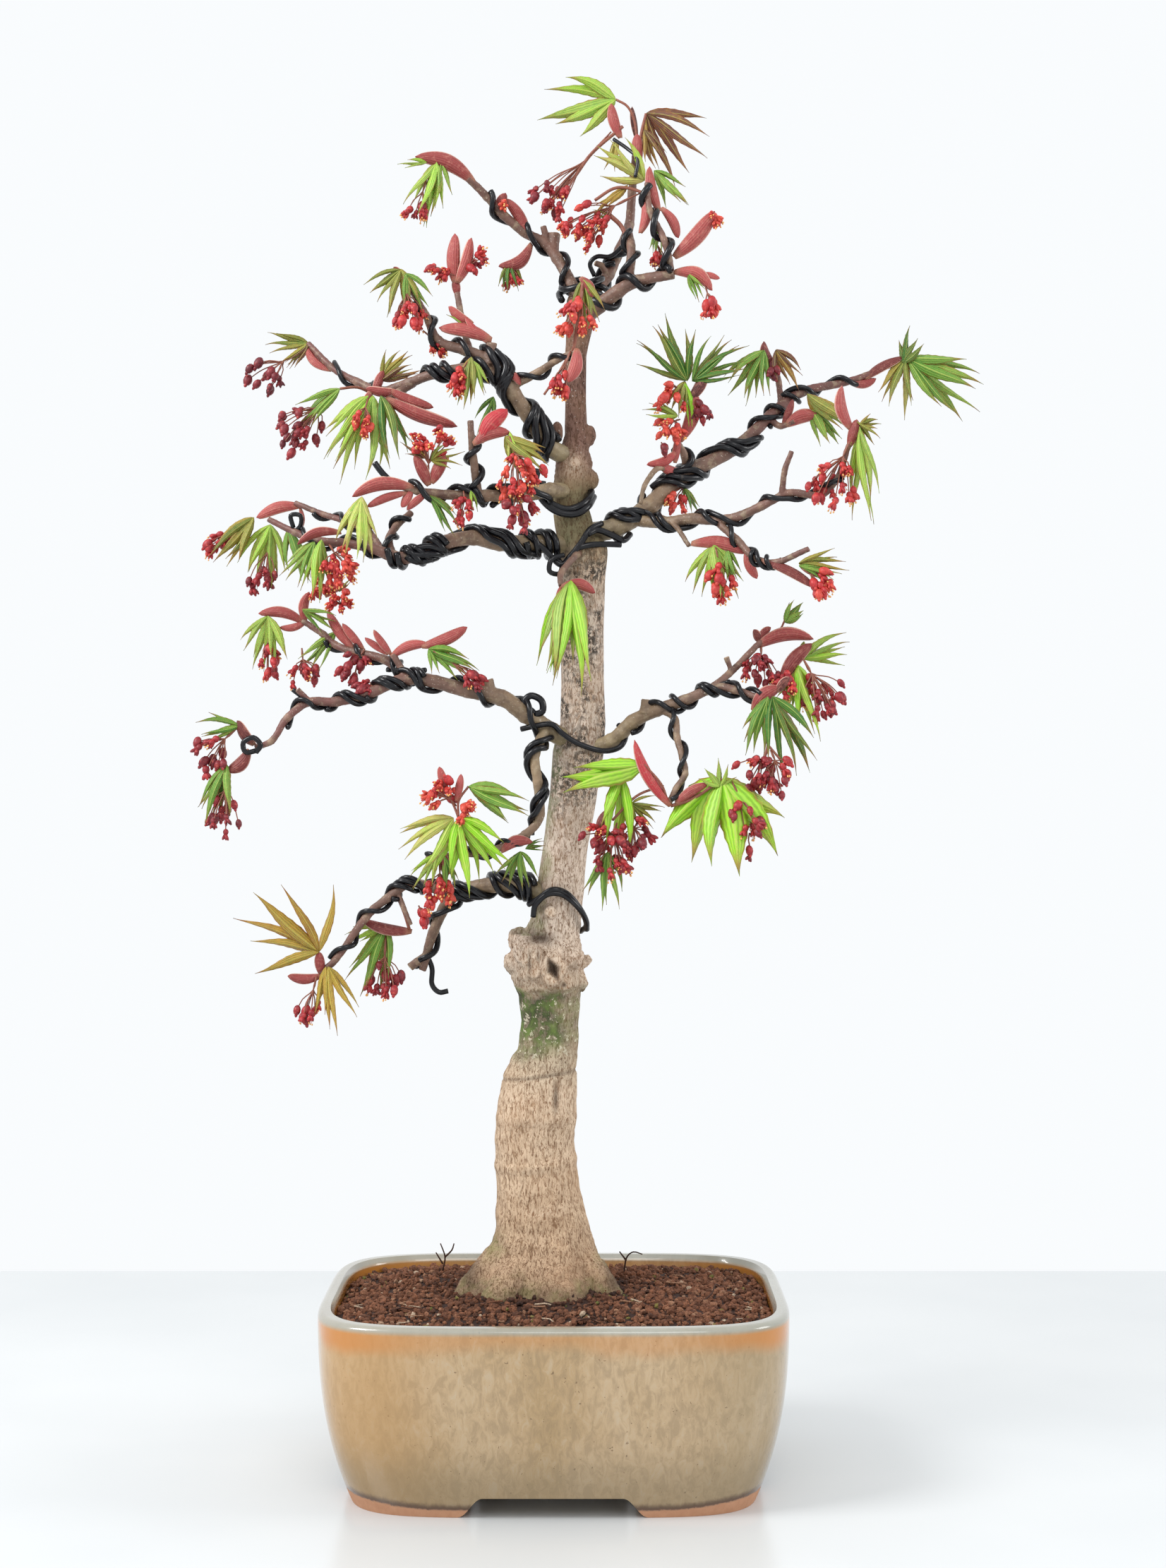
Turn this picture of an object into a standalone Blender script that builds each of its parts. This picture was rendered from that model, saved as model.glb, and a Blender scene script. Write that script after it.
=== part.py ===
"""A wired bonsai in a glazed, footed pot.

Lengths are millimetres, measured from the middle of the pot's underside, and
MM turns them into metres. The pot stands a little left of the whole object's
middle, so everything hangs on one empty that shifts it there.
"""

import math

import bmesh
import bpy
from mathutils import Vector

MM = 0.001

# Pot
POT_WIDTH = 194.0
POT_DEPTH = 154.0
POT_HEIGHT = 78.0
POT_SHIFT = -18.0
BASE_INSET = 13.0
WALL_CURVE = 2.4
WALL = 6.5
FLOOR = 7.0
LIP_ROUND = 2.5
CORNER_POWER = 5.0
POT_SIDES = 36

# Feet: what two crossing channels leave standing at the corners
FOOT_HEIGHT = 8.5
SIDE_CHANNEL_HEIGHT = 7.5
FRONT_CHANNEL = 76.0
SIDE_CHANNEL = 46.0
CHANNEL_SLOPE = 14.0

# Drainage
DRAIN_RADIUS = 6.0
DRAIN_SPACING = 52.0
SCREEN_SIDE = 20.0
SCREEN_THICKNESS = 1.0
SCREEN_BAR = 1.6
SCREEN_HOLES = 3

# Soil
SOIL_DROP = 6.0
SOIL_MOUND = 7.0
SOIL_LEVEL = POT_HEIGHT - SOIL_DROP

# The tree's heights below are drawn for soil at this level, and follow it
DRAWN_SOIL_LEVEL = 72.0
TREE_LIFT = Vector((0, 0, SOIL_LEVEL - DRAWN_SOIL_LEVEL))
ROOT_FLARE_TOP = 103.0
ROOT_FLARE_HEIGHT = 25.0

# Wood and wire
CLEARANCE = 0.3
TRUNK_SIDES = 14
ROOT_LOBES = 5
ROOT_SWELL = 0.10
LIMB_SPACING = 10.0
WIRE_RADIUS = 1.1
WIRE_PITCH = 13.0
WIRE_STEPS = 8

# Shoots
HUB_RADIUS = 1.8
STALK = 0.9
LOBE_WIDTH = 5.0
LOBE_THICKNESS = 1.3
BUD = 4.6
FLOWER_STEM = 0.6
FLOWER_SPREAD = 70.0

# The trunk's middle and radius at each height: x, y, z, radius
TRUNK = [
    (-5, 8, 52, 17), (-5, 8, 66, 25), (-5, 8, 80, 27), (-4, 8, 91, 24),
    (-5, 8, 102, 20), (-7, 7, 118, 18), (-9, 7, 139, 17), (-8, 6, 155, 17),
    (-6, 6, 168, 15.5), (-4, 5, 178, 13), (-2, 5, 191, 12.5), (-2, 5, 202, 13.5),
    (-3, 4, 213, 16), (-3, 4, 223, 15), (0, 4, 231, 11.5), (2, 3, 245, 10.5),
    (4, 3, 263, 10), (8, 2, 290, 10.3), (10, 1, 306, 11), (12, 1, 326, 9.5),
    (12, 1, 358, 9), (12, 0, 386, 10.5), (8, 0, 402, 8.5), (6, 0, 413, 7.2),
    (8, 0, 428, 7.8), (9, 0, 441, 5), (9, 0, 474, 4.7), (11, 0, 489, 6),
    (11, 0, 499, 5.6),
]

# Each limb: its stem, then the side twigs that grew from it. A stem is its
# radius at the base, its radius at the tip and the points that it bends at.
LIMBS = {
    "limb_left_bottom": [
        (4.2, 1.7, [(1, 3, 240), (-7, 1, 246), (-14, 0, 249), (-26, 2, 249),
                    (-38, 5, 247), (-46, 7, 241), (-52, 9, 229), (-57, 10, 212)]),
        (2.2, 1.4, [(-43, 6, 243), (-52, -4, 248), (-61, -11, 250), (-70, -13, 244),
                    (-79, -15, 236), (-91, -17, 219), (-97, -18, 213)]),
    ],
    "limb_left_low": [
        (4.2, 1.2, [(9, 0, 309), (-1, -8, 314), (-12, -13, 321), (-22, -16, 328),
                    (-36, -18, 331), (-60, -21, 336), (-76, -24, 330),
                    (-90, -26, 326), (-101, -28, 326), (-110, -31, 319),
                    (-116, -33, 310), (-122, -34, 307)]),
        (2.1, 1.3, [(-59, -20, 335), (-71, -12, 344), (-85, -4, 348),
                    (-93, 1, 351), (-99, 4, 356), (-107, 7, 361)]),
        (2.4, 1.2, [(-3, -10, 316), (-8, -19, 305), (-7, -21, 293), (-6, -20, 279),
                    (-12, -20, 271), (-27, -24, 264), (-40, -26, 263),
                    (-51, -28, 262)]),
    ],
    "limb_left_mid": [
        (4.2, 1.2, [(10, 0, 392), (-2, -7, 393), (-23, -14, 393), (-34, -16, 395),
                    (-45, -19, 393), (-53, -21, 389), (-61, -23, 386),
                    (-68, -24, 387), (-80, -24, 391), (-98, -21, 393),
                    (-108, -17, 397), (-119, -12, 402)]),
        (1.7, 1.3, [(-67, -23, 387), (-69, -18, 394), (-66, -15, 400),
                    (-60, -12, 405)]),
        (1.6, 1.3, [(-71, -24, 388), (-78, -12, 398), (-88, -3, 403),
                    (-98, 5, 407), (-111, 14, 413)]),
    ],
    "limb_left_front": [
        (3.6, 1.4, [(7, 0, 416), (-2, -14, 415), (-14, -22, 412), (-28, -29, 411),
                    (-49, -35, 411), (-59, -38, 413), (-68, -40, 416)]),
        (1.9, 1.3, [(-31, -31, 411), (-33, -34, 425), (-34, -36, 439)]),
    ],
    "limb_left_high": [
        (4.2, 1.2, [(8, 0, 430), (-2, -8, 434), (-8, -14, 442), (-17, -17, 455),
                    (-24, -18, 467), (-37, -17, 473), (-49, -15, 478),
                    (-54, -13, 489), (-60, -11, 501)]),
        (2.5, 1.3, [(-20, -18, 461), (-33, -21, 465), (-50, -19, 463),
                    (-61, -14, 460), (-73, -6, 458), (-84, 2, 463),
                    (-96, 11, 471), (-107, 20, 483)]),
        (2.0, 1.2, [(-18, -18, 458), (-7, -21, 463), (1, -27, 467), (9, -32, 470)]),
        (1.5, 1.3, [(-35, -17, 472), (-38, -12, 483), (-41, -8, 497)]),
    ],
    "limb_right_high": [
        (4.6, 1.1, [(10, 0, 398), (26, -1, 401), (40, 1, 410), (55, 5, 424),
                    (77, 11, 436), (93, 16, 451), (107, 21, 462), (126, 26, 467),
                    (146, 30, 475)]),
        (2.7, 1.1, [(34, -1, 404), (46, -10, 402), (58, -15, 403), (72, -20, 402),
                    (86, -25, 407), (97, -29, 412), (110, -33, 411),
                    (117, -35, 419), (121, -37, 429)]),
        (1.7, 1.2, [(67, -19, 402), (76, -25, 393), (83, -31, 385), (92, -36, 383),
                    (102, -40, 388)]),
        (1.5, 1.1, [(98, 18, 456), (97, 20, 466), (95, 20, 475)]),
        (1.5, 1.2, [(92, 15, 450), (97, 12, 446), (103, 9, 447)]),
    ],
    "limb_right_low": [
        (3.9, 1.3, [(11, 0, 306), (24, -8, 310), (33, -13, 318), (43, -17, 323),
                    (55, -20, 327), (67, -22, 332), (75, -25, 331),
                    (85, -30, 327)]),
        (1.6, 1.3, [(64, -21, 331), (73, -16, 338), (80, -12, 345), (86, -9, 352)]),
        (1.6, 1.3, [(45, -17, 323), (50, -22, 319), (51, -26, 311), (53, -29, 303),
                    (54, -31, 296), (50, -33, 290), (47, -34, 284)]),
    ],
    "limb_crown_left": [
        (2.8, 1.6, [(11, 0, 493), (7, 3, 505), (1, 7, 517), (-5, 8, 524),
                    (-13, 7, 528), (-22, 5, 535), (-29, 2, 542), (-36, -2, 547)]),
    ],
    "limb_crown_middle": [
        (2.7, 1.4, [(11, 1, 491), (17, 8, 503), (23, 11, 511), (28, 12, 522),
                    (32, 12, 532), (33, 10, 546), (35, 6, 564)]),
    ],
    "limb_crown_right": [
        (3.3, 2.0, [(11, -1, 489), (19, -7, 494), (27, -11, 499), (35, -13, 503),
                    (48, -16, 504)]),
        (2.0, 1.6, [(31, -12, 502), (32, -13, 511), (34, -13, 520), (38, -13, 531)]),
    ],
    "twig_front": [
        (1.7, 1.2, [(12, 0, 391), (9, -13, 388), (3, -20, 380), (3, -23, 374)]),
    ],
}

# Each wire: the limb that it is wound on, which of its stems, and how far
# along that stem the winding starts and ends.
WIRES = {
    "wire_left_bottom": ("limb_left_bottom", 0, 18, 42),
    "wire_left_low": ("limb_left_low", 0, 30, 66),
    "wire_left_hanging": ("limb_left_low", 2, 22, 70),
    "wire_left_mid": ("limb_left_mid", 0, 22, 62),
    "wire_left_high": ("limb_left_high", 0, 20, 38),
    "wire_right_high": ("limb_right_high", 0, 42, 84),
    "wire_right_mid": ("limb_right_high", 1, 16, 32),
    "wire_right_low": ("limb_right_low", 0, 18, 38),
    "wire_crown": ("limb_crown_left", 0, 16, 48),
}

# Each shoot: where it leaves the wood, where its leaf opens, which way the
# leaf hangs, its length, its spread in degrees, its lobes, and its flowers.
SHOOTS = {
    "shoot_crown_top_left": ((34, 5, 568), (26, 4, 582), (-1, 0, -0.1), 28, 60, 5, 0),
    "shoot_crown_top_right": ((37, 6, 568), (39, 5, 576), (0.8, 0, -0.5), 33, 50, 5, 0),
    "shoot_crown_pale": ((38, -8, 533), (38, -5, 547), (-0.8, 0, 0.5), 22, 40, 4, 0),
    "shoot_crown_right_tip": ((50, -17, 505), (53, -18, 509), (0.8, 0, 0.3), 20, 60, 3, 2),
    "shoot_crown_left_tip": ((-38, -3, 550), (-50, -4, 552), (-0.4, 0, -0.9), 21, 50, 4, 2),
    "shoot_left_high_up": ((-41, -8, 501), (-41, -8, 504), (0, 0, 1), 18, 30, 3, 2),
    "shoot_left_high_tip": ((-62, -12, 504), (-65, -18, 507), (0, 0, -1), 20, 60, 5, 0),
    "shoot_left_high_far": ((-109, 20, 484), (-112, 20, 483), (-1, 0, -0.3), 18, 50, 4, 2),
    "shoot_left_high_drop": ((-79, -6, 458), (-88, -12, 456), (-0.6, 0, -0.8), 24, 40, 4, 3),
    "shoot_left_high_umbrella": ((-64, -18, 456), (-72, -24, 451), (-0.2, 0, -1), 33, 60, 6, 0),
    "shoot_left_front_twig": ((-34, -37, 442), (-30, -39, 443), (0.8, 0, -0.5), 24, 40, 4, 0),
    "shoot_left_mid_far": ((-113, 15, 413), (-121, 16, 409), (-0.7, 0, -0.7), 26, 70, 6, 3),
    "shoot_left_mid_under": ((-95, -27, 390), (-97, -29, 386), (-0.3, 0, -1), 18, 50, 4, 3),
    "shoot_left_front_tip": ((-70, -41, 416), (-78, -42, 408), (-0.1, 0, -1), 20, 40, 5, 0),
    "shoot_left_low_upper": ((-109, 7, 362), (-120, 8, 362), (0, 0, -1), 18, 80, 5, 2),
    "shoot_left_low_inner": ((-61, -24, 340), (-54, -25, 346), (1, 0, -0.1), 24, 40, 4, 0),
    "shoot_left_low_tip": ((-125, -34, 307), (-132, -35, 304), (-0.6, 0, -0.8), 24, 50, 4, 3),
    "shoot_right_high_upright": ((52, -1, 425), (57, -7, 464), (0, 0, 1), 24, 110, 6, 0),
    "shoot_right_high_twig": ((95, 18, 478), (90, 14, 477), (-0.2, 0, -1), 22, 70, 5, 0),
    "shoot_right_high_tip": ((148, 30, 476), (152, 30, 478), (0.8, 0, -0.5), 36, 60, 6, 0),
    "shoot_right_high_inner": ((104, 9, 447), (108, 8, 450), (0.9, 0, -0.4), 16, 40, 3, 0),
    "shoot_right_mid_tip": ((121, -38, 430), (124, -38, 434), (0.3, 0, -1), 31, 30, 3, 3),
    "shoot_right_mid_inner": ((60, -22, 398), (64, -24, 390), (0.1, 0, -1), 22, 60, 4, 2),
    "shoot_right_mid_far": ((104, -41, 387), (106, -41, 387), (1, 0, -0.3), 14, 50, 3, 2),
    "shoot_right_low_upper": ((87, -9, 352), (96, -9, 354), (1, 0, 0), 20, 50, 4, 0),
    "shoot_right_low_tip": ((88, -30, 330), (101, -27, 337), (0.3, 0, -1), 26, 40, 4, 3),
    "shoot_right_low_drop": ((87, -34, 327), (88, -37, 323), (0, 0, -1), 28, 50, 5, 3),
    "shoot_right_hanging_fan": ((50, -35, 283), (68, -36, 293), (0.15, 0, -1), 36, 90, 6, 0),
    "shoot_right_hanging_bright": ((46, -36, 286), (37, -38, 299), (-1, 0, -0.15), 34, 30, 3, 0),
    "shoot_right_hanging_flowers": ((46, -33, 282), (31, -30, 287), (-0.2, 0, -1), 28, 50, 3, 4),
    "shoot_trunk_front": ((3, -25, 373), (7, -27, 375), (-0.1, 0, -1), 34, 50, 5, 0),
    "shoot_left_hanging_palm": ((-38, -30, 265), (-38, -36, 276), (0, 0, -1), 22, 120, 6, 0),
    "shoot_left_bottom_up": ((-100, -18, 214), (-101, -19, 221), (-0.6, 0, 0.7), 32, 90, 6, 0),
    "shoot_left_bottom_down": ((-98, -20, 209), (-96, -22, 206), (0.1, 0, -1), 20, 80, 4, 2),
}


def clear_scene():
    for obj in list(bpy.data.objects):
        bpy.data.objects.remove(obj, do_unlink=True)


def new_collection(name):
    collection = bpy.data.collections.new(name)
    bpy.context.scene.collection.children.link(collection)
    return collection


def finish(name, colour, roughness, metallic=0.0):
    material = bpy.data.materials.new(name)
    material.use_nodes = True
    shader = material.node_tree.nodes["Principled BSDF"]
    shader.inputs["Base Color"].default_value = (*colour, 1.0)
    shader.inputs["Roughness"].default_value = roughness
    shader.inputs["Metallic"].default_value = metallic
    return material


def add_mesh(name, mesh, collection, material=None):
    obj = bpy.data.objects.new(name, mesh)
    collection.objects.link(obj)
    obj.parent = pot_middle
    if material:
        mesh.materials.append(material)
    return obj


def add_cutter(name, mesh):
    obj = add_mesh(name, mesh, cutters)
    obj.hide_render = True
    obj.display_type = "WIRE"
    return obj


def mesh_from(bm, name):
    bmesh.ops.recalc_face_normals(bm, faces=bm.faces)
    mesh = bpy.data.meshes.new(name)
    bm.to_mesh(mesh)
    bm.free()
    return mesh


def boolean(obj, other, operation):
    modifier = obj.modifiers.new(f"{operation.lower()} {other.name}", "BOOLEAN")
    modifier.operation = operation
    modifier.object = other
    modifier.solver = "EXACT"


def loft(name, rings):
    """A closed skin over rings of equal length, capped at both ends."""
    bm = bmesh.new()
    rows = [[bm.verts.new(point * MM) for point in ring] for ring in rings]
    sides = len(rows[0])
    for lower, upper in zip(rows, rows[1:]):
        for i in range(sides):
            j = (i + 1) % sides
            bm.faces.new((lower[i], lower[j], upper[j], upper[i]))
    bm.faces.new(reversed(rows[0]))
    bm.faces.new(rows[-1])
    return mesh_from(bm, name)


def box(name, size, centre, taper=0.0):
    """A box, whose underside may be wider than its top along x."""
    bm = bmesh.new()
    bmesh.ops.create_cube(bm, size=1.0)
    for vert in bm.verts:
        widen = taper * math.copysign(1, vert.co.x) if vert.co.z < 0 else 0.0
        place = Vector(centre) + Vector(size) * vert.co + Vector((widen, 0, 0))
        vert.co = place * MM
    return mesh_from(bm, name)


# Pot ------------------------------------------------------------------------


def pot_ring(inset, z):
    """The pot's rounded rectangle, drawn in from its widest outline."""
    power = 2 / CORNER_POWER
    ring = []
    for i in range(POT_SIDES):
        turn = 2 * math.pi * (i + 0.5) / POT_SIDES
        x = math.copysign(abs(math.cos(turn)) ** power, math.cos(turn))
        y = math.copysign(abs(math.sin(turn)) ** power, math.sin(turn))
        ring.append(Vector((x * (POT_WIDTH / 2 - inset), y * (POT_DEPTH / 2 - inset), z)))
    return ring


def wall_inset(z):
    """How far the outer wall stands in at this height: it curves out upward."""
    return BASE_INSET * max(0.0, 1 - z / (POT_HEIGHT - LIP_ROUND)) ** WALL_CURVE


def heights(low, high, steps):
    return [low + (high - low) * i / steps for i in range(steps + 1)]


def build_pot():
    lip = POT_HEIGHT - LIP_ROUND
    floor_top = FOOT_HEIGHT + FLOOR
    outer = [pot_ring(wall_inset(z), z) for z in heights(0, lip, 8)]
    inner = [pot_ring(WALL + wall_inset(z), z) for z in heights(lip, floor_top, 4)]
    rim = [pot_ring(LIP_ROUND, POT_HEIGHT), pot_ring(WALL - LIP_ROUND / 2, POT_HEIGHT)]
    glaze = finish("tan_glaze", (0.50, 0.36, 0.22), 0.2)
    pot = add_mesh("pot", loft("pot", outer + rim + inner), parts, glaze)
    reach = 2 * POT_WIDTH
    below = FOOT_HEIGHT
    front = box("front_channel", (FRONT_CHANNEL - CHANNEL_SLOPE, reach, FOOT_HEIGHT + below),
                (0, 0, (FOOT_HEIGHT - below) / 2), CHANNEL_SLOPE)
    boolean(pot, add_cutter("front_channel", front), "DIFFERENCE")
    side = box("side_channel", (SIDE_CHANNEL, reach, SIDE_CHANNEL_HEIGHT + below),
               (0, 0, (SIDE_CHANNEL_HEIGHT - below) / 2), CHANNEL_SLOPE)
    side_cutter = add_cutter("side_channel", side)
    side_cutter.rotation_euler.z = math.pi / 2
    boolean(pot, side_cutter, "DIFFERENCE")
    for side_name, x in drains():
        bm = bmesh.new()
        bmesh.ops.create_cone(bm, cap_ends=True, segments=16, radius1=DRAIN_RADIUS * MM,
                              radius2=DRAIN_RADIUS * MM, depth=3 * floor_top * MM)
        hole = add_cutter(f"drain_hole_{side_name}", mesh_from(bm, "drain_hole"))
        hole.location.x = x * MM
        boolean(pot, hole, "DIFFERENCE")


def drains():
    return (("left", -DRAIN_SPACING / 2), ("right", DRAIN_SPACING / 2))


def screen_bottom():
    return FOOT_HEIGHT + FLOOR + CLEARANCE


def build_screens():
    plastic = finish("dark_plastic", (0.03, 0.03, 0.03), 0.6)
    middle = screen_bottom() + SCREEN_THICKNESS / 2
    cell = (SCREEN_SIDE - SCREEN_BAR) / SCREEN_HOLES
    first = -cell * (SCREEN_HOLES - 1) / 2
    for side_name, x in drains():
        plate = box("drain_screen", (SCREEN_SIDE, SCREEN_SIDE, SCREEN_THICKNESS), (x, 0, middle))
        screen = add_mesh(f"drain_screen_{side_name}", plate, parts, plastic)
        for i in range(SCREEN_HOLES):
            for j in range(SCREEN_HOLES):
                size = (cell - SCREEN_BAR, cell - SCREEN_BAR, 4 * SCREEN_THICKNESS)
                centre = (x + first + i * cell, first + j * cell, middle)
                name = f"screen_{side_name}_hole_{i}{j}"
                boolean(screen, add_cutter(name, box(name, size, centre)), "DIFFERENCE")


# Soil and trunk --------------------------------------------------------------


def trunk_ring(station, clearance):
    """The trunk is round above and swells into root lobes at its foot."""
    *place, radius = station
    middle = Vector(place) + TREE_LIFT
    foot = max(0.0, min(1.0, (ROOT_FLARE_TOP - place[2]) / ROOT_FLARE_HEIGHT))
    ring = []
    for i in range(TRUNK_SIDES):
        turn = 2 * math.pi * i / TRUNK_SIDES
        swell = 1 + ROOT_SWELL * foot * math.cos(ROOT_LOBES * turn)
        reach = radius * swell + clearance
        ring.append(middle + reach * Vector((math.cos(turn), math.sin(turn), 0)))
    return ring


def trunk_mesh(name, clearance=0.0):
    rings = [trunk_ring(station, clearance) for station in TRUNK]
    for vertex in rings[0]:
        vertex.z -= clearance
    for vertex in rings[-1]:
        vertex.z += clearance
    return loft(name, rings)


def build_soil():
    low = screen_bottom()
    rings = []
    for z in heights(low, SOIL_LEVEL, 4):
        rings.append(pot_ring(WALL + CLEARANCE + wall_inset(z), z))
    edge = rings[-1]
    for share in (0.8, 0.6, 0.4, 0.2):
        height = SOIL_LEVEL + SOIL_MOUND * (1 - share) ** 0.8
        rings.append([Vector((point.x * share, point.y * share, height)) for point in edge])
    earth = finish("red_brown_soil", (0.11, 0.05, 0.03), 0.95)
    soil = add_mesh("soil", loft("soil", rings), parts, earth)
    boolean(soil, trunk_cutter, "DIFFERENCE")
    for side_name, x in drains():
        size = (SCREEN_SIDE + 2 * CLEARANCE,) * 2 + (2 * (SCREEN_THICKNESS + CLEARANCE),)
        name = f"screen_pocket_{side_name}"
        boolean(soil, add_cutter(name, box(name, size, (x, 0, low))), "DIFFERENCE")


def build_trunk():
    bark = finish("tan_bark", (0.38, 0.28, 0.20), 0.85)
    add_mesh("trunk", trunk_mesh("trunk"), parts, bark)


# Limbs and wires -------------------------------------------------------------


def smooth_route(points, spacing):
    """Places along a smooth curve through the chosen points."""
    points = [Vector(point) + TREE_LIFT for point in points]
    ends = [2 * points[0] - points[1], *points, 2 * points[-1] - points[-2]]
    route = []
    for a, b, c, d in zip(ends, ends[1:], ends[2:], ends[3:]):
        steps = max(1, round((c - b).length / spacing))
        for i in range(steps):
            t = i / steps
            route.append(0.5 * (2 * b + (c - a) * t + (2 * a - 5 * b + 4 * c - d) * t * t
                                + (3 * b - a - 3 * c + d) * t ** 3))
    return route + [points[-1]]


def distances(route):
    along = [0.0]
    for a, b in zip(route, route[1:]):
        along.append(along[-1] + (b - a).length)
    return along


def tube_mesh(name, route, radii, sides):
    """A round bar along a route, made as a curve and then closed as a mesh."""
    curve = bpy.data.curves.new(name, "CURVE")
    curve.dimensions = "3D"
    curve.bevel_depth = MM
    curve.bevel_resolution = (sides - 4) // 2
    curve.use_fill_caps = True
    spline = curve.splines.new("POLY")
    spline.points.add(len(route) - 1)
    for point, place, radius in zip(spline.points, route, radii):
        point.co = (*(place * MM), 1.0)
        point.radius = radius
    obj = bpy.data.objects.new(name, curve)
    bpy.context.scene.collection.objects.link(obj)
    graph = bpy.context.evaluated_depsgraph_get()
    mesh = bpy.data.meshes.new_from_object(obj.evaluated_get(graph))
    bpy.data.objects.remove(obj)
    bm = bmesh.new()
    bm.from_mesh(mesh)
    bmesh.ops.remove_doubles(bm, verts=bm.verts, dist=0.00002)
    bpy.data.meshes.remove(mesh)
    return mesh_from(bm, name)


def stem_mesh(name, stem):
    base, tip, points = stem
    route = smooth_route(points, LIMB_SPACING)
    along = distances(route)
    radii = [base + (tip - base) * place / along[-1] for place in along]
    return tube_mesh(name, route, radii, 8 if base > 3 else 6)


def build_limbs():
    bark = finish("purple_brown_bark", (0.20, 0.12, 0.09), 0.6)
    for name, stems in LIMBS.items():
        limb = add_mesh(name, stem_mesh(name, stems[0]), parts, bark)
        for number, twig in enumerate(stems[1:], 1):
            twig_name = f"{name}_twig_{number}"
            boolean(limb, add_cutter(twig_name, stem_mesh(twig_name, twig)), "UNION")
        boolean(limb, trunk_cutter, "DIFFERENCE")


def build_wires():
    metal = finish("black_wire", (0.02, 0.02, 0.02), 0.3, 1.0)
    for name, (limb, number, start, end) in WIRES.items():
        base, tip, points = LIMBS[limb][number]
        route = smooth_route(points, 1.0)
        along = distances(route)
        turns = (end - start) / WIRE_PITCH
        steps = round(turns * WIRE_STEPS)
        side = Vector((0, 1, 0))
        coil = []
        for i in range(steps + 1):
            reached = start + (end - start) * i / steps
            k = next(n for n, place in enumerate(along) if place >= reached)
            ahead = (route[min(k + 3, len(route) - 1)] - route[k - 3]).normalized()
            side = (side - ahead * side.dot(ahead)).normalized()
            other = ahead.cross(side)
            wood = base + (tip - base) * reached / along[-1]
            reach = (wood + WIRE_RADIUS + 2 * CLEARANCE) / math.cos(math.pi / WIRE_STEPS)
            turn = 2 * math.pi * turns * i / steps
            coil.append(route[k] + reach * (side * math.cos(turn) + other * math.sin(turn)))
        mesh = tube_mesh(name, coil, [WIRE_RADIUS] * len(coil), 6)
        add_mesh(name, mesh, parts, metal)


# Shoots ----------------------------------------------------------------------


def add_bar(bm, path, widths, thicknesses, flat):
    """A closed four-sided bar along a path, wide one way and thin the other."""
    rows = []
    for i, place in enumerate(path):
        ahead = (path[min(i + 1, len(path) - 1)] - path[max(i - 1, 0)]).normalized()
        across = flat.cross(ahead).normalized() * widths[i] / 2
        up = ahead.cross(across).normalized() * thicknesses[i] / 2
        rows.append([bm.verts.new(place + side) for side in (across, up, -across, -up)])
    for lower, upper in zip(rows, rows[1:]):
        for i in range(4):
            j = (i + 1) % 4
            bm.faces.new((lower[i], lower[j], upper[j], upper[i]))
    bm.faces.new(reversed(rows[0]))
    bm.faces.new(rows[-1])


def fan(direction, spread, count):
    """Directions opened evenly to both sides of the middle one."""
    middle = Vector(direction).normalized()
    for i in range(count):
        share = i / (count - 1) - 0.5 if count > 1 else 0.0
        angle = math.radians(spread) * share
        yield Vector((middle.x * math.cos(angle) - middle.z * math.sin(angle), middle.y,
                      middle.x * math.sin(angle) + middle.z * math.cos(angle))), share


def build_shoots():
    green = finish("spring_green_leaf", (0.22, 0.42, 0.05), 0.5)
    front = Vector((0, -1, 0))
    for name, (start, opening, direction, length, spread, lobes, flowers) in SHOOTS.items():
        hub = Vector(opening) + TREE_LIFT
        base = Vector(start) + TREE_LIFT
        bm = bmesh.new()
        if (hub - base).length > 2 * HUB_RADIUS:
            add_bar(bm, [base, hub], [2 * STALK] * 2, [2 * STALK] * 2, front)
        for aim, share in fan(direction, spread, lobes):
            reach = length * (1 - 0.5 * abs(share))
            path = [hub + aim * reach * part for part in (0, 0.16, 0.5, 1.0)]
            add_bar(bm, path, [1.2, 1.6, LOBE_WIDTH, 0.5],
                    [0.8, 1.0, LOBE_THICKNESS, 0.4], front)
        for aim, share in fan(direction, FLOWER_SPREAD, flowers):
            aim = (aim + front * 1.2).normalized()
            stem = length * FLOWER_STEM
            path = [hub + aim * part for part in (0, stem, stem + BUD / 2, stem + BUD)]
            add_bar(bm, path, [0.9, 0.9, BUD, 1.0], [0.9, 0.9, BUD, 1.0], front)
        bmesh.ops.scale(bm, verts=bm.verts, vec=(MM, MM, MM))
        shoot = add_mesh(name, mesh_from(bm, name), parts, green)
        bm = bmesh.new()
        bmesh.ops.create_icosphere(bm, subdivisions=1, radius=HUB_RADIUS * MM)
        bmesh.ops.translate(bm, verts=bm.verts, vec=hub * MM)
        hub_name = f"{name}_hub"
        boolean(shoot, add_cutter(hub_name, mesh_from(bm, hub_name)), "UNION")
        shoot.modifiers[0].use_self = True


clear_scene()
parts = new_collection("bonsai")
cutters = new_collection("cutters")
pot_middle = bpy.data.objects.new("pot_middle", None)
pot_middle.location.x = POT_SHIFT * MM
parts.objects.link(pot_middle)
trunk_cutter = add_cutter("trunk_cutter", trunk_mesh("trunk_cutter", CLEARANCE))
build_pot()
build_screens()
build_soil()
build_trunk()
build_limbs()
build_wires()
build_shoots()
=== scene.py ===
import math
import random

import bmesh
import bpy
from mathutils import Matrix, Vector, noise
from mathutils.bvhtree import BVHTree


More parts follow.
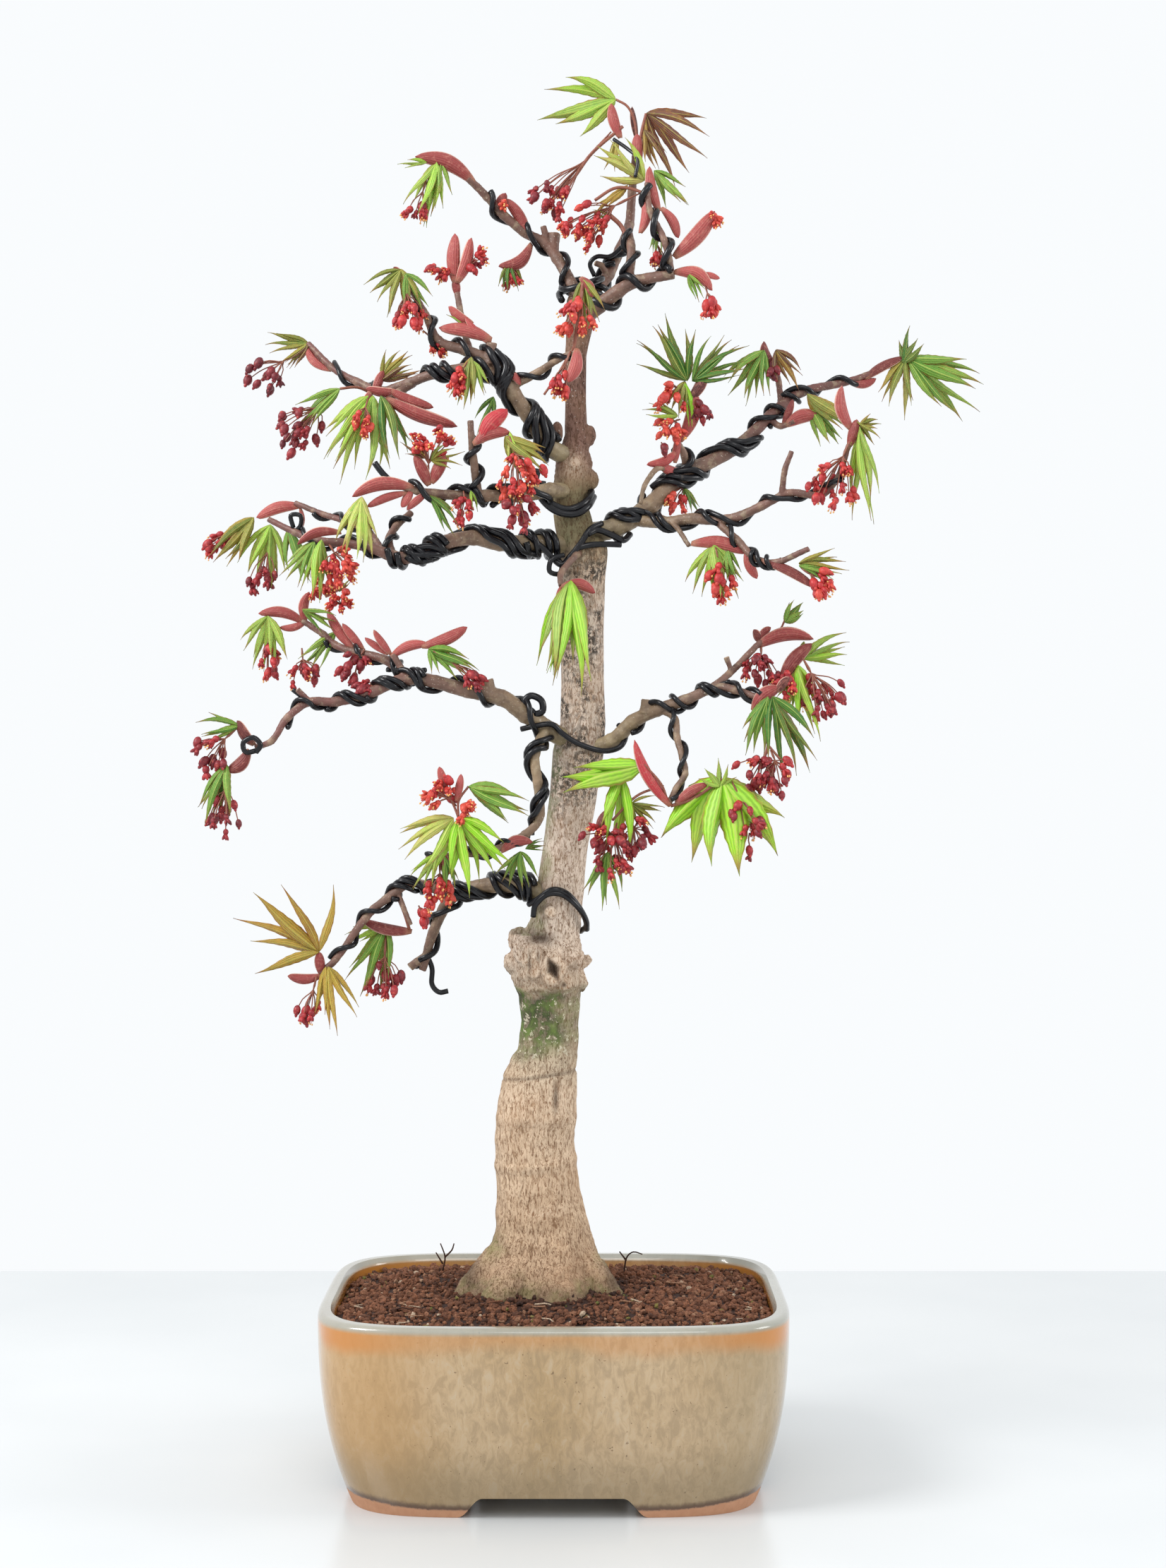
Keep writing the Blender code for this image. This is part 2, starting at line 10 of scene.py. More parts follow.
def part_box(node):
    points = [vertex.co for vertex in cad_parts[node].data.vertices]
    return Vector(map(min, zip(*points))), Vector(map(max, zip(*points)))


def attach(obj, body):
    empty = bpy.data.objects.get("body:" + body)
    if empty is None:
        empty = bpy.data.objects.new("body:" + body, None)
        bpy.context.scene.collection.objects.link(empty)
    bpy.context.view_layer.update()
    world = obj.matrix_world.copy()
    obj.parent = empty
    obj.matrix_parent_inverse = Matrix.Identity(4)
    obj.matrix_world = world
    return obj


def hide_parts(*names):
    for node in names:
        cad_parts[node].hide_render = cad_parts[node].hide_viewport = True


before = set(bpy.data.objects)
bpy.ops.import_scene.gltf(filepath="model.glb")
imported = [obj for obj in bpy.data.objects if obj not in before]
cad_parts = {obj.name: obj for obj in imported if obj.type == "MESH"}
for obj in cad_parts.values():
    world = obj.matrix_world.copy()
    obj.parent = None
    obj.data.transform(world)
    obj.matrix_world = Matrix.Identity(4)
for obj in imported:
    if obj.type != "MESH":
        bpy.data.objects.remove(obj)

noise.seed_set(5)  # vector noise starts from the clock unless it is given a seed

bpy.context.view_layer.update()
mm = 0.001
potLow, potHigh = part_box("pot")
potMiddle = Vector(((potLow.x + potHigh.x) / 2, (potLow.y + potHigh.y) / 2, 0))  # all places below are mm from here


def at(place):
    return potMiddle + Vector(place) * mm


def clamp(value, low=0.0, high=1.0):
    return max(low, min(high, value))


def feed(node, inputs):
    for key, value in inputs.items():
        if isinstance(value, bpy.types.NodeSocket):
            node.id_data.links.new(value, node.inputs[key])
        else:
            node.inputs[key].default_value = value


def addNode(tree, kind, inputs, **settings):
    node = tree.nodes.new(kind)
    for key, value in settings.items():
        setattr(node, key, value)
    feed(node, inputs)
    return node


def newMaterial(name, **sockets):
    material = bpy.data.materials.new(name)
    material.use_nodes = True
    shader = material.node_tree.nodes["Principled BSDF"]
    feed(shader, {key.replace("_", " "): value for key, value in sockets.items()})
    return material, shader


def plug(output, shader, name):
    shader.id_data.links.new(output, shader.inputs[name])


def treeOf(values):  # the node tree that the first socket among them belongs to
    return next(value.id_data for value in values if isinstance(value, bpy.types.NodeSocket))


def placeIn(material):
    return addNode(material.node_tree, "ShaderNodeTexCoord", {}).outputs["Object"]


def grain(material, scale, detail=4, rough=0.55, stretch=(1, 1, 1), warp=0.0):
    space = addNode(material.node_tree, "ShaderNodeMapping", {"Vector": placeIn(material), "Scale": stretch})
    noisy = {"Vector": space.outputs["Vector"], "Scale": scale, "Detail": detail, "Roughness": rough,
            "Distortion": warp}
    return addNode(material.node_tree, "ShaderNodeTexNoise", noisy).outputs["Fac"]


def toneOf(material):  # the three values painted on a piece's points
    paint = addNode(material.node_tree, "ShaderNodeAttribute", {}, attribute_name="tone").outputs["Color"]
    return addNode(material.node_tree, "ShaderNodeSeparateColor", {"Color": paint}).outputs[:3]


def sidesAndHeight(material):
    return addNode(material.node_tree, "ShaderNodeSeparateXYZ", {"Vector": placeIn(material)}).outputs


def ramp(factor, *stops):
    node = addNode(factor.id_data, "ShaderNodeValToRGB", {"Fac": factor})
    elements = node.color_ramp.elements
    elements.remove(elements[-1])
    for i, (position, colour) in enumerate(stops):
        element = elements[0] if i == 0 else elements.new(position)
        element.position = position
        element.color = (*colour, 1) if isinstance(colour, tuple) else (colour, colour, colour, 1)
    return node.outputs["Color"]


def mixed(factor, first, second, kind="MIX"):
    first, second = ((*value, 1) if isinstance(value, tuple) else value for value in (first, second))
    inputs = {0: factor, 6: first, 7: second}  # the mix node's colour sockets
    return addNode(treeOf(inputs.values()), "ShaderNodeMix", inputs, data_type="RGBA", blend_type=kind).outputs[2]


def maths(kind, *values):
    return addNode(treeOf(values), "ShaderNodeMath", dict(enumerate(values)), operation=kind).outputs[0]


def times(first, *others):
    for other in others:
        first = maths("MULTIPLY", first, other)
    return first


def plus(first, second):
    return maths("ADD", first, second)


def minus(first, second):
    return maths("SUBTRACT", first, second)


def band(value, low, high):  # eased from 0 at low to 1 at high
    inputs = {"Value": value, "From Min": low, "From Max": high}
    return addNode(value.id_data, "ShaderNodeMapRange", inputs, interpolation_type="SMOOTHSTEP").outputs["Result"]


def bumped(shader, height, distance, strength):
    bump = addNode(height.id_data, "ShaderNodeBump",
            {"Height": height, "Distance": distance * mm, "Strength": strength})
    plug(bump.outputs["Normal"], shader, "Normal")


def roughen(shader, height, distance, strength=0.6, low=0.4, high=0.8):
    bumped(shader, height, distance, strength)
    spread = addNode(height.id_data, "ShaderNodeMapRange", {"Value": height, "To Min": high, "To Max": low})
    plug(spread.outputs["Result"], shader, "Roughness")


def linked(name, data):
    thing = bpy.data.objects.new(name, data)
    bpy.context.scene.collection.objects.link(thing)
    return thing


def dress(thing, material):
    thing.data.materials.clear()
    thing.data.materials.append(material)


def newShape():  # tone is a colour on each point, three values that the materials read
    bm = bmesh.new()
    return bm, bm.verts.layers.float_color.new("tone")


def addPiece(name, mesh, material, slotName, *nodes):
    piece = linked(name, mesh)
    dress(piece, material)
    mesh.shade_smooth()
    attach(piece, "root")
    if nodes:
        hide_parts(*nodes)
    return piece


def meshOf(bm, name, closed=True):
    if closed:
        bmesh.ops.recalc_face_normals(bm, faces=bm.faces)
    mesh = bpy.data.meshes.new(name)
    bm.to_mesh(mesh)
    bm.free()
    return mesh


def merged(bm, name, voxel):
    helper = linked(name, meshOf(bm, name))
    join = helper.modifiers.new("join", "REMESH")
    join.mode = "VOXEL"
    join.voxel_size = voxel * mm
    join.use_smooth_shade = True
    graph = bpy.context.evaluated_depsgraph_get()
    mesh = bpy.data.meshes.new_from_object(helper.evaluated_get(graph))
    bpy.data.objects.remove(helper)
    return mesh


def smoothRoute(points, spacing=1.2):
    points = [Vector(point) for point in points]
    ends = [2 * points[0] - points[1], *points, 2 * points[-1] - points[-2]]
    route = []
    for a, b, c, d in zip(ends, ends[1:], ends[2:], ends[3:]):
        steps = max(2, round((c - b).length / spacing))
        for i in range(steps):
            t = i / steps
            bend, curl = 2 * a - 5 * b + 4 * c - d, 3 * b - a - 3 * c + d
            route.append(0.5 * (2 * b + (c - a) * t + bend * t * t + curl * t ** 3))
    return route + [points[-1]]


def lengthsAlong(route):
    along = [0.0]
    for a, b in zip(route, route[1:]):
        along.append(along[-1] + (b - a).length)
    return along


def sidesOf(route):
    side = Vector((0, 1, 0))
    for i in range(len(route)):
        ahead = (route[min(i + 1, len(route) - 1)] - route[max(i - 1, 0)]).normalized()
        if abs(side.dot(ahead)) > 0.95:
            side = ahead.orthogonal()
        side = (side - ahead * side.dot(ahead)).normalized()
        yield ahead, side, ahead.cross(side)


def closeRows(bm, rows):  # faces between closed rings, with the two ends capped
    for lower, upper in zip(rows, rows[1:]):
        for i in range(len(lower)):
            j = (i + 1) % len(lower)
            bm.faces.new((lower[i], lower[j], upper[j], upper[i]))
    bm.faces.new(reversed(rows[0]))
    bm.faces.new(rows[-1])


def openRows(bm, rows):  # faces between open rows, for leaves and scales
    for lower, upper in zip(rows, rows[1:]):
        for i in range(len(lower) - 1):
            bm.faces.new((lower[i], lower[i + 1], upper[i + 1], upper[i]))


def addTube(bm, tone, route, radii, sides=8, paint=(0, 0, 0)):
    rows = []
    for place, radius, (ahead, side, other) in zip(route, radii, sidesOf(route)):
        row = []
        for i in range(sides):
            turn = 2 * math.pi * i / sides
            vert = bm.verts.new(at(place + radius * (side * math.cos(turn) + other * math.sin(turn))))
            vert[tone] = (*paint, 1)
            row.append(vert)
        rows.append(row)
    closeRows(bm, rows)


def addBall(bm, tone, middle, axis, length, width, paint, sides=8, rings=5, ribs=0.0):
    axis = axis.normalized()
    side = axis.orthogonal().normalized()
    other = axis.cross(side)
    rows = []
    for j in range(rings):
        lean = math.pi * (j + 0.5) / rings
        row = []
        for i in range(sides):
            turn = 2 * math.pi * i / sides
            reach = width / 2 * math.sin(lean) * (1 + ribs * math.cos(turn * 4))
            out = side * math.cos(turn) + other * math.sin(turn)
            vert = bm.verts.new(at(middle - axis * math.cos(lean) * length / 2 + reach * out))
            vert[tone] = (*paint, 1)
            row.append(vert)
        rows.append(row)
    closeRows(bm, rows)


def paintMesh(mesh, painter):
    tone = mesh.attributes.get("tone") or mesh.attributes.new("tone", "FLOAT_COLOR", "POINT")
    for vert, value in zip(mesh.vertices, tone.data):
        value.color = (*painter((vert.co - potMiddle) / mm), 1)


studio = {
    "cameraPlace": (12, -1005, 292), "lens": 54.3, "sensor": 36, "exposure": 0.12,
    "floorReach": 2500, "floorBack": 413, "skyColour": (0.875, 0.895, 0.91), "skyStrength": 1.0,
    "lampsAim": (0, 0, 250),
    "lamps": {  # place, size and power
        "lamp_left": ((-900, -500, 1100), 500, 12), "lamp_right": ((1200, -200, 700), 500, 5),
        "lamp_front": ((250, -1500, 1400), 700, 5)},
}

camera = linked("camera", bpy.data.cameras.new("camera"))
camera.location = at(studio["cameraPlace"])
camera.rotation_euler = (math.radians(90), 0, 0)
camera.data.lens = studio["lens"]
camera.data.sensor_width = studio["sensor"]
bpy.context.scene.camera = camera
bpy.context.scene.view_settings.view_transform = "Standard"
bpy.context.scene.view_settings.exposure = studio["exposure"]

sky = bpy.data.worlds.new("studio")
sky.use_nodes = True
feed(sky.node_tree.nodes["Background"], {"Color": (*studio["skyColour"], 1), "Strength": studio["skyStrength"]})
bpy.context.scene.world = sky

floorMaterial, floorShader = newMaterial("paleTable", Roughness=0.2, Base_Color=(0.8, 0.81, 0.81, 1))
cloudy = grain(floorMaterial, 4, 3)
plug(ramp(cloudy, (0.3, (0.57, 0.59, 0.6)), (0.7, (0.64, 0.655, 0.66))), floorShader, "Base Color")
bm = bmesh.new()
reach, back = studio["floorReach"], studio["floorBack"]
corners = ((-reach, -reach), (reach, -reach), (reach, back), (-reach, back))
bm.faces.new([bm.verts.new(at((x, y, 0))) for x, y in corners])
floor = linked("table_top", meshOf(bm, "table_top", False))
dress(floor, floorMaterial)

for name, (place, size, power) in studio["lamps"].items():
    lamp = bpy.data.lights.new(name, "AREA")
    lamp.size = size * mm
    lamp.energy = power
    holder = linked(name, lamp)
    holder.location = at(place)
    holder.rotation_euler = (at(studio["lampsAim"]) - holder.location).to_track_quat("-Z", "Y").to_euler()
print("camera, table and lamps")


potShape = {
    "width": 194, "depth": 154, "height": 78, "baseInset": 13, "wallCurve": 2.4, "wall": 6.5, "lip": 2.5,
    "cornerPower": 5.0, "sides": 176, "wallRings": 22, "lipRings": 5, "insideRings": 6, "floorTop": 15.5,
    "archHeight": 8.5, "archHalf": 38, "sideArchHeight": 7.5, "sideArchHalf": 30, "archShoulder": 10, "cutReach": 150,
    "drainRadius": 6, "drainSpacing": 52, "edgeBevel": 0.8,
}


def potOutline(inset, z):
    power, sides = 2 / potShape["cornerPower"], potShape["sides"]
    ring = []
    for i in range(sides):
        turn = 2 * math.pi * (i + 0.5) / sides
        x = math.copysign(abs(math.cos(turn)) ** power, math.cos(turn))
        y = math.copysign(abs(math.sin(turn)) ** power, math.sin(turn))
        ring.append(Vector((x * (potShape["width"] / 2 - inset), y * (potShape["depth"] / 2 - inset), z)))
    return ring


def wallInset(z):
    rise = z / (potShape["height"] - potShape["lip"])
    return potShape["baseInset"] * max(0.0, 1 - rise) ** potShape["wallCurve"]


def archCutter(name, half, height, turned):
    bm = bmesh.new()
    wide, parts = potShape["archShoulder"], 10  # the shoulder is eased from the foot up to the arch
    shoulder = [(half - wide * i / parts, height * (1 - math.cos(math.pi * i / parts)) / 2) for i in range(parts + 1)]
    outline = [(-half - 4, -6), (half + 4, -6)] + shoulder + [(-x, z) for x, z in reversed(shoulder)]
    rows = []
    for reach in (-potShape["cutReach"], potShape["cutReach"]):
        rows.append([bm.verts.new(at((reach, x, z) if turned else (x, reach, z))) for x, z in outline])
    closeRows(bm, rows)
    return meshOf(bm, name)


def glazeMaterial():
    material, shader = newMaterial("oatGlaze", Coat_Weight=0.7, Coat_Roughness=0.05, IOR=1.45)
    x, y, z = sidesAndHeight(material)
    broad = grain(material, 16, 3, 0.5, (1, 1, 0.6), 0.6)
    drops = grain(material, 330, 4, 0.65, (1, 1, 0.45), 0.6)
    specks = grain(material, 500, 2, 0.7)
    colour = ramp(broad, (0.3, (0.36, 0.235, 0.1)), (0.5, (0.44, 0.3, 0.155)), (0.7, (0.51, 0.37, 0.22)))
    colour = mixed(ramp(drops, (0.38, 0.42), (0.55, 0.0)), colour, (0.22, 0.15, 0.075))
    colour = mixed(ramp(drops, (0.55, 0.0), (0.7, 0.35)), colour, (0.5, 0.42, 0.31))
    colour = mixed(ramp(specks, (0.69, 0.0), (0.72, 0.7)), colour, (0.13, 0.07, 0.03))
    sides = band(maths("ABSOLUTE", plus(x, 0.018)), 0.045, 0.092)
    left = band(x, -0.05, -0.09)
    colour = mixed(times(left, 0.55), colour, (0.44, 0.24, 0.075))
    right = times(sides, band(x, 0.0, 0.05))
    colour = mixed(times(right, 0.6), colour, (0.3, 0.225, 0.12))
    # painted shade: the glaze colour is darkened towards the foot
    low = times(band(z, 0.034, 0.012), 0.5)
    colour = mixed(low, colour, (0.22, 0.16, 0.08))
    uneven = plus(z, times(minus(broad, 0.5), 0.02))
    fade = plus(times(sides, 0.5), 0.42)
    underRim = times(band(uneven, 0.0665, 0.0735), band(z, 0.0765, 0.0742), fade)
    colour = mixed(underRim, colour, (0.5, 0.19, 0.03))
    rim = band(z, 0.0745, 0.0768)
    colour = mixed(times(rim, 0.8), colour, mixed(broad, (0.16, 0.15, 0.11), (0.36, 0.4, 0.38)))
    edge = minus(plus(z, times(drops, 0.002)), times(sides, 0.0035))
    colour = mixed(band(edge, 0.0078, 0.0052), colour, (0.1, 0.05, 0.022))
    bare = band(edge, 0.0048, 0.0038)
    colour = mixed(bare, colour, mixed(drops, (0.4, 0.19, 0.1), (0.6, 0.33, 0.2)))
    plug(colour, shader, "Base Color")
    wavy = mixed(0.35, drops, broad)
    bumped(shader, wavy, 0.35, 0.25)
    plug(ramp(bare, (0.0, 0.22), (1.0, 0.85)), shader, "Roughness")
    plug(ramp(bare, (0.0, 0.7), (1.0, 0.0)), shader, "Coat Weight")
    return material


def buildPot():
    rounding, wall = potShape["lip"], potShape["wall"]
    lip = potShape["height"] - rounding
    wallRings, lipRings, insideRings = potShape["wallRings"], potShape["lipRings"], potShape["insideRings"]
    rings = [potOutline(wallInset(lip * i / wallRings), lip * i / wallRings) for i in range(wallRings + 1)]
    for i in range(1, lipRings + 1):  # round the outside of the rim
        turn = math.pi / 2 * i / lipRings
        rings.append(potOutline(rounding * (1 - math.cos(turn)), lip + rounding * math.sin(turn)))
    for i in range(lipRings + 1):  # and over its inner edge
        turn = math.pi / 2 * i / lipRings
        drop = 0.4 * (i / lipRings) ** 2
        rise = lip + rounding * (1 - 0.6 * (1 - math.cos(turn))) - rounding * drop
        rings.append(potOutline(wall - rounding * 0.6 * math.cos(turn), rise))
    start = lip - rounding * 0.2
    for i in range(insideRings + 1):
        z = start - (start - potShape["floorTop"]) * i / insideRings
        rings.append(potOutline(wall + wallInset(z), z))
    bm = bmesh.new()
    rows = [[bm.verts.new(at(point)) for point in ring] for ring in rings]
    closeRows(bm, rows)
    pot = linked("pot_body", meshOf(bm, "pot_body"))
    cutters = [archCutter("front_arch", potShape["archHalf"], potShape["archHeight"], False),
            archCutter("side_arch", potShape["sideArchHalf"], potShape["sideArchHeight"], True)]
    radius = potShape["drainRadius"] * mm
    for x in (-potShape["drainSpacing"] / 2, potShape["drainSpacing"] / 2):
        bm = bmesh.new()
        bmesh.ops.create_cone(bm, cap_ends=True, segments=40, radius1=radius, radius2=radius, depth=10 * radius)
        bmesh.ops.translate(bm, verts=bm.verts, vec=at((x, 0, 0)))
        cutters.append(meshOf(bm, "drain"))
    helpers = []
    for mesh in cutters:
        helper = linked("cutter", mesh)
        helpers.append(helper)
        cut = pot.modifiers.new("cut", "BOOLEAN")
        cut.operation, cut.solver, cut.object = "DIFFERENCE", "EXACT", helper
    soften = pot.modifiers.new("soften", "BEVEL")
    soften.width, soften.segments = potShape["edgeBevel"] * mm, 3
    soften.limit_method, soften.angle_limit = "ANGLE", math.radians(45)
    mesh = bpy.data.meshes.new_from_object(pot.evaluated_get(bpy.context.evaluated_depsgraph_get()))
    for helper in helpers + [pot]:
        bpy.data.objects.remove(helper)
    body = addPiece("pot_body", mesh, glazeMaterial(), "glaze", "pot")
    weighted = body.modifiers.new("shading", "WEIGHTED_NORMAL")
    weighted.keep_sharp = True


buildPot()
screenPlastic, screenShader = newMaterial("blackScreen", Base_Color=(0.02, 0.02, 0.02, 1))
roughen(screenShader, grain(screenPlastic, 900), 0.1, 0.3, 0.45, 0.7)
for name in ("drain_screen_left", "drain_screen_right"):
    dress(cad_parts[name], screenPlastic)
print("pot")


soilLook = {
    "grains": 6400, "smallest": 0.75, "largest": 1.85, "seed": 4, "bits": 26,
    "lowest": 0.0705,  # metres; nothing is laid lower than this
    "twigs": [[(-50, 40, 77), (-49, 40, 83), (-51, 40, 89)], [(-49, 40, 83), (-46, 40, 86), (-45, 40, 89)],
        [(-50, 40, 80), (-53, 40, 85)], [(30, 32, 77), (31, 32, 84), (34, 31, 87), (38, 31, 86)],
        [(31, 32, 83), (28, 32, 87)], [(62, -18, 76), (66, -12, 78), (68, -4, 80), (70, 4, 78)],
        [(-66, -30, 75), (-62, -34, 77), (-58, -34, 76)], [(8, -52, 75), (14, -54, 77), (18, -52, 75)]],
}


def soilMaterial():
    material, shader = newMaterial("bakedClayGrit", Specular_IOR_Level=0.25)
    green, blue = toneOf(material)[1:]
    poresAndGapShade = grain(material, 1500, 3, 0.7)
    colour = ramp(blue, (0.0, (0.03, 0.014, 0.01)), (0.35, (0.12, 0.048, 0.025)), (0.7, (0.23, 0.092, 0.047)),
            (0.9, (0.32, 0.17, 0.1)), (1.0, (0.5, 0.38, 0.27)))
    # painted shade: near-black patches for the shadowed gaps between grains, on the bed and the grains
    colour = mixed(ramp(poresAndGapShade, (0.35, 0.65), (0.6, 0.0)), colour, (0.03, 0.014, 0.01))
    colour = mixed(green, colour, (0.13, 0.17, 0.03))
    plug(colour, shader, "Base Color")
    roughen(shader, poresAndGapShade, 0.3, 0.7, 0.75, 0.95)
    return material


def surfaceUnder(surface, x, y):
    hit = surface.ray_cast(at((x, y, 200)), Vector((0, 0, -1)))[0]
    return hit if hit is not None and hit.z >= soilLook["lowest"] else None


def buildSoil():
    material = soilMaterial()
    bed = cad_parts["soil"]
    dress(bed, material)
    surface = BVHTree.FromPolygons([vert.co for vert in bed.data.vertices],
            [tuple(face.vertices) for face in bed.data.polygons])
    rng = random.Random(soilLook["seed"])
    bm = bmesh.new()
    bmesh.ops.create_icosphere(bm, subdivisions=1, radius=1.0)
    ball = [vert.co.copy() for vert in bm.verts]
    ballFaces = [[vert.index for vert in face.verts] for face in bm.faces]
    bm.free()
    verts, faces, tints = [], [], []
    inside = potShape["wall"] + 0.6
    halfX, halfY = potShape["width"] / 2 - inside, potShape["depth"] / 2 - inside
    made = 0
    while made < soilLook["grains"]:
        x, y = rng.uniform(-halfX, halfX), rng.uniform(-halfY, halfY)
        if abs(x / halfX) ** 5 + abs(y / halfY) ** 5 > 0.985:
            continue
        hit = surfaceUnder(surface, x, y)
        if hit is None:
            continue
        made += 1
        size = rng.uniform(soilLook["smallest"], soilLook["largest"]) * (0.7 if rng.random() < 0.45 else 1.0)
        middle = hit + Vector((0, 0, size * rng.uniform(-0.2, 0.75) * mm))
        turn = Matrix.Rotation(rng.uniform(0, 6.3), 3, Vector((rng.uniform(-1, 1), rng.uniform(-1, 1), 1)).normalized())
        squash = Vector((rng.uniform(0.8, 1.25), rng.uniform(0.7, 1.1), rng.uniform(0.6, 0.95)))
        near = max(0.0, 1 - math.hypot(x + 6, y - 6) / 50)
        tint = clamp(rng.gauss(0.52, 0.17) - 0.9 * near + (0.36 if rng.random() < 0.01 else 0))
        moss = 0.5 if rng.random() < 0.012 else 0.0
        first = len(verts)
        for corner in ball:
            knobbly = corner * squash * rng.uniform(0.8, 1.15)
            verts.append(middle + (turn @ knobbly) * size * mm)
            tints.append((0, moss, tint, 1))
        faces.extend([[first + i for i in face] for face in ballFaces])
    mesh = bpy.data.meshes.new("soil_grains")
    mesh.from_pydata(verts, [], faces)
    tone = mesh.attributes.new("tone", "FLOAT_COLOR", "POINT")
    for value, tint in zip(tone.data, tints):
        value.color = tint
    addPiece("soil_grains", mesh, material, "soil")
    mesh.shade_flat()
    bm, tone = newShape()  # rootlets and bits of bark lying on top
    for i in range(soilLook["bits"]):
        x, y = rng.uniform(-halfX * 0.9, halfX * 0.9), rng.uniform(-halfY * 0.9, halfY * 0.6)
        hit = surfaceUnder(surface, x, y)
        if hit is None:
            continue
        start = (hit - potMiddle) / mm + Vector((0, 0, 1.6))
        heading = rng.uniform(0, 6.3)
        reach = rng.uniform(3, 9)
        places = []
        for k in range(4):
            ahead = Vector((math.cos(heading + k * rng.uniform(-0.3, 0.3)), math.sin(heading), 0))
            places.append(start + ahead * reach * k / 3 + Vector((0, 0, rng.uniform(-0.3, 0.5))))
        route = smoothRoute(places)
        addTube(bm, tone, route, [rng.uniform(0.2, 0.45)] * len(route), 5, (0, 0, rng.choice((0.6, 0.9, 1.0))))
    for points in soilLook["twigs"]:
        route = smoothRoute(points)
        addTube(bm, tone, route, [0.45 - 0.2 * i / len(route) for i in range(len(route))], 5, (0, 0, 0.1))
    addPiece("soil_rootlets", meshOf(bm, "soil_rootlets"), material, "soil")


buildSoil()
print("soil")


trunkShape = {
    # x, y, z and radius
    "stations": [(-6, 8, 62, 36), (-6, 8, 72, 34), (-6, 8, 80, 29.5), (-6, 8, 87, 25.3), (-5, 8, 94, 22.4),
        (-5, 8, 103, 19.8), (-7, 7, 118, 17.8), (-9, 7, 139, 16.8), (-8, 6, 155, 16.8), (-7, 6, 166, 16),
        (-5, 5, 174, 14), (-3, 5, 180, 12.6), (-2, 5, 191, 12.1), (-2, 5, 202, 13.1), (-3, 4, 210, 15.2),
        (-3, 4, 222, 14.6), (-1, 4, 229, 11.8), (1, 3, 236, 10.8), (2, 3, 245, 10.1), (4, 3, 263, 9.6),
        (8, 2, 290, 10.2), (10, 1, 306, 10.9), (12, 1, 318, 9.6), (12, 1, 336, 9.1), (12, 1, 358, 9),
        (12, 1, 378, 9.4), (12, 0, 390, 10.4), (8, 0, 402, 8.3), (6, 0, 413, 7.4), (8, 0, 424, 8), (8, 0, 431, 7.2),
        (9, 0, 440, 4.8), (9, 0, 456, 4.4), (9, 0, 474, 4.6), (11, 0, 489, 5.8), (11, 0, 497, 5.9),
        (11, 0, 499.5, 5.2)],
    # surface roots: places, first and last radius
    "toes": [([(-18, 5, 94), (-29, 0, 83), (-42, -4, 66)], 8, 7),
        ([(-12, -3, 90), (-20, -12, 80), (-30, -23, 64)], 8, 8), ([(7, 2, 92), (17, -3, 82), (29, -8, 64)], 8, 7),
        ([(-12, 14, 98), (-24, 24, 85), (-32, 34, 73)], 8, 4), ([(4, 14, 98), (14, 26, 84), (20, 36, 73)], 8, 4),
        ([(2, -4, 88), (5, -12, 78), (9, -22, 62)], 8, 8)],
    # swellings: middle, half width, half height
    "knobs": [((-15.5, 2, 226), 4.6, 5.2), ((-17, 3, 216), 4.4, 5.6), ((-12, -6, 222), 5, 7),
        ((12.2, 0, 216.5), 2.6, 3.2), ((13.8, -1, 217.5), 1.5, 1.7), ((11.8, 0, 208), 2, 4.5),
        ((4.4, -8.8, 207.5), 2.6, 2.4), ((-8.8, -8.2, 217.5), 4.6, 7.6), ((0, -8.6, 214), 5.6, 7),
        ((7, -7, 219), 5, 5), ((-1.6, -6.4, 238), 3, 3.4), ((9, -6, 427), 3.6, 4.2), ((15, -1, 421), 3.6, 4.5),
        ((15, 0, 440), 2.6, 4.5), ((1, -4, 441), 2.6, 4.5), ((17, -5, 390), 5.5, 7)],
    "voxel": 0.7, "sides": 40,
    "hollow": {"x": -0.5, "z": 214.2, "tilt": 0.3, "lean": 0.45, "across": 3.1, "along": 5.2, "depth": 4.2},
    # marks in the bark: x, z, half width, half height and strength
    "callus": [(-9.5, 217, 4.5, 8, 1), (0, 213.5, 6, 7, 1), (4, 206.5, 3, 2.5, 1), (-1.6, 238, 2.4, 2.2, 1),
        (8, 427, 4.5, 4.5, 1), (-4, 112, 9, 2.2, 0.45), (2, 160, 5, 6, 0.5)],
    "callusRight": [(13.5, 212.5, 2.6, 4, 1)],
    "stains": [(-6, 227, 6, 2.6, 1), (-36, 86, 5, 8, 0.75), (26, 84, 4, 8, 0.75)],
    # painted shade in the pits and cracks of the front scars: x, z, half width, half height and strength
    "scarShades": [(4, 207.5, 1.2, 1, 0.9), (-10.5, 217, 0.9, 5.5, 0.8), (-6.8, 220, 0.7, 4, 0.7),
        (0.5, 159, 1.2, 6, 0.8)],
    "pits": [(-8.9, 217.3, 1.3, 4.2, 1.1), (4, 207.5, 1.3, 1.2, 1.2), (0.5, 159, 1.3, 6, 0.8),
        (9, 427, 2.2, 2.2, 0.7)],
    # rims have a softness before their strength
    "rims": [(-0.5, 214.2, 4, 5.6, 0.24, 1.3), (-8.9, 217.3, 2.8, 6.2, 0.22, 1.2), (-1.6, 238, 2, 2, 0.3, 0.6)],
    # bands round it: z, slope, half height, strength
    "gnarled": [(218, 0, 12, 1), (84, 0, 12, 0.38), (428, 0, 10, 0.7)],
    "swollen": [(131, 0.1, 2.2, 0.6), (150, 0, 3, 0.5)],
    "mossFrom": 175, "mossTo": 206, "mossSide": 8,
}


def pit(place, x, z, wide, tall):
    return math.exp(-((place.x - x) / wide) ** 2 - ((place.z - z) / tall) ** 2)


def strongest(place, marks):
    return max(strength * pit(place, *mark) for *mark, strength in marks)


def ringed(place, z, slope, tall):  # a band round the trunk
    return math.exp(-((place.z - z - place.x * slope) / tall) ** 2)


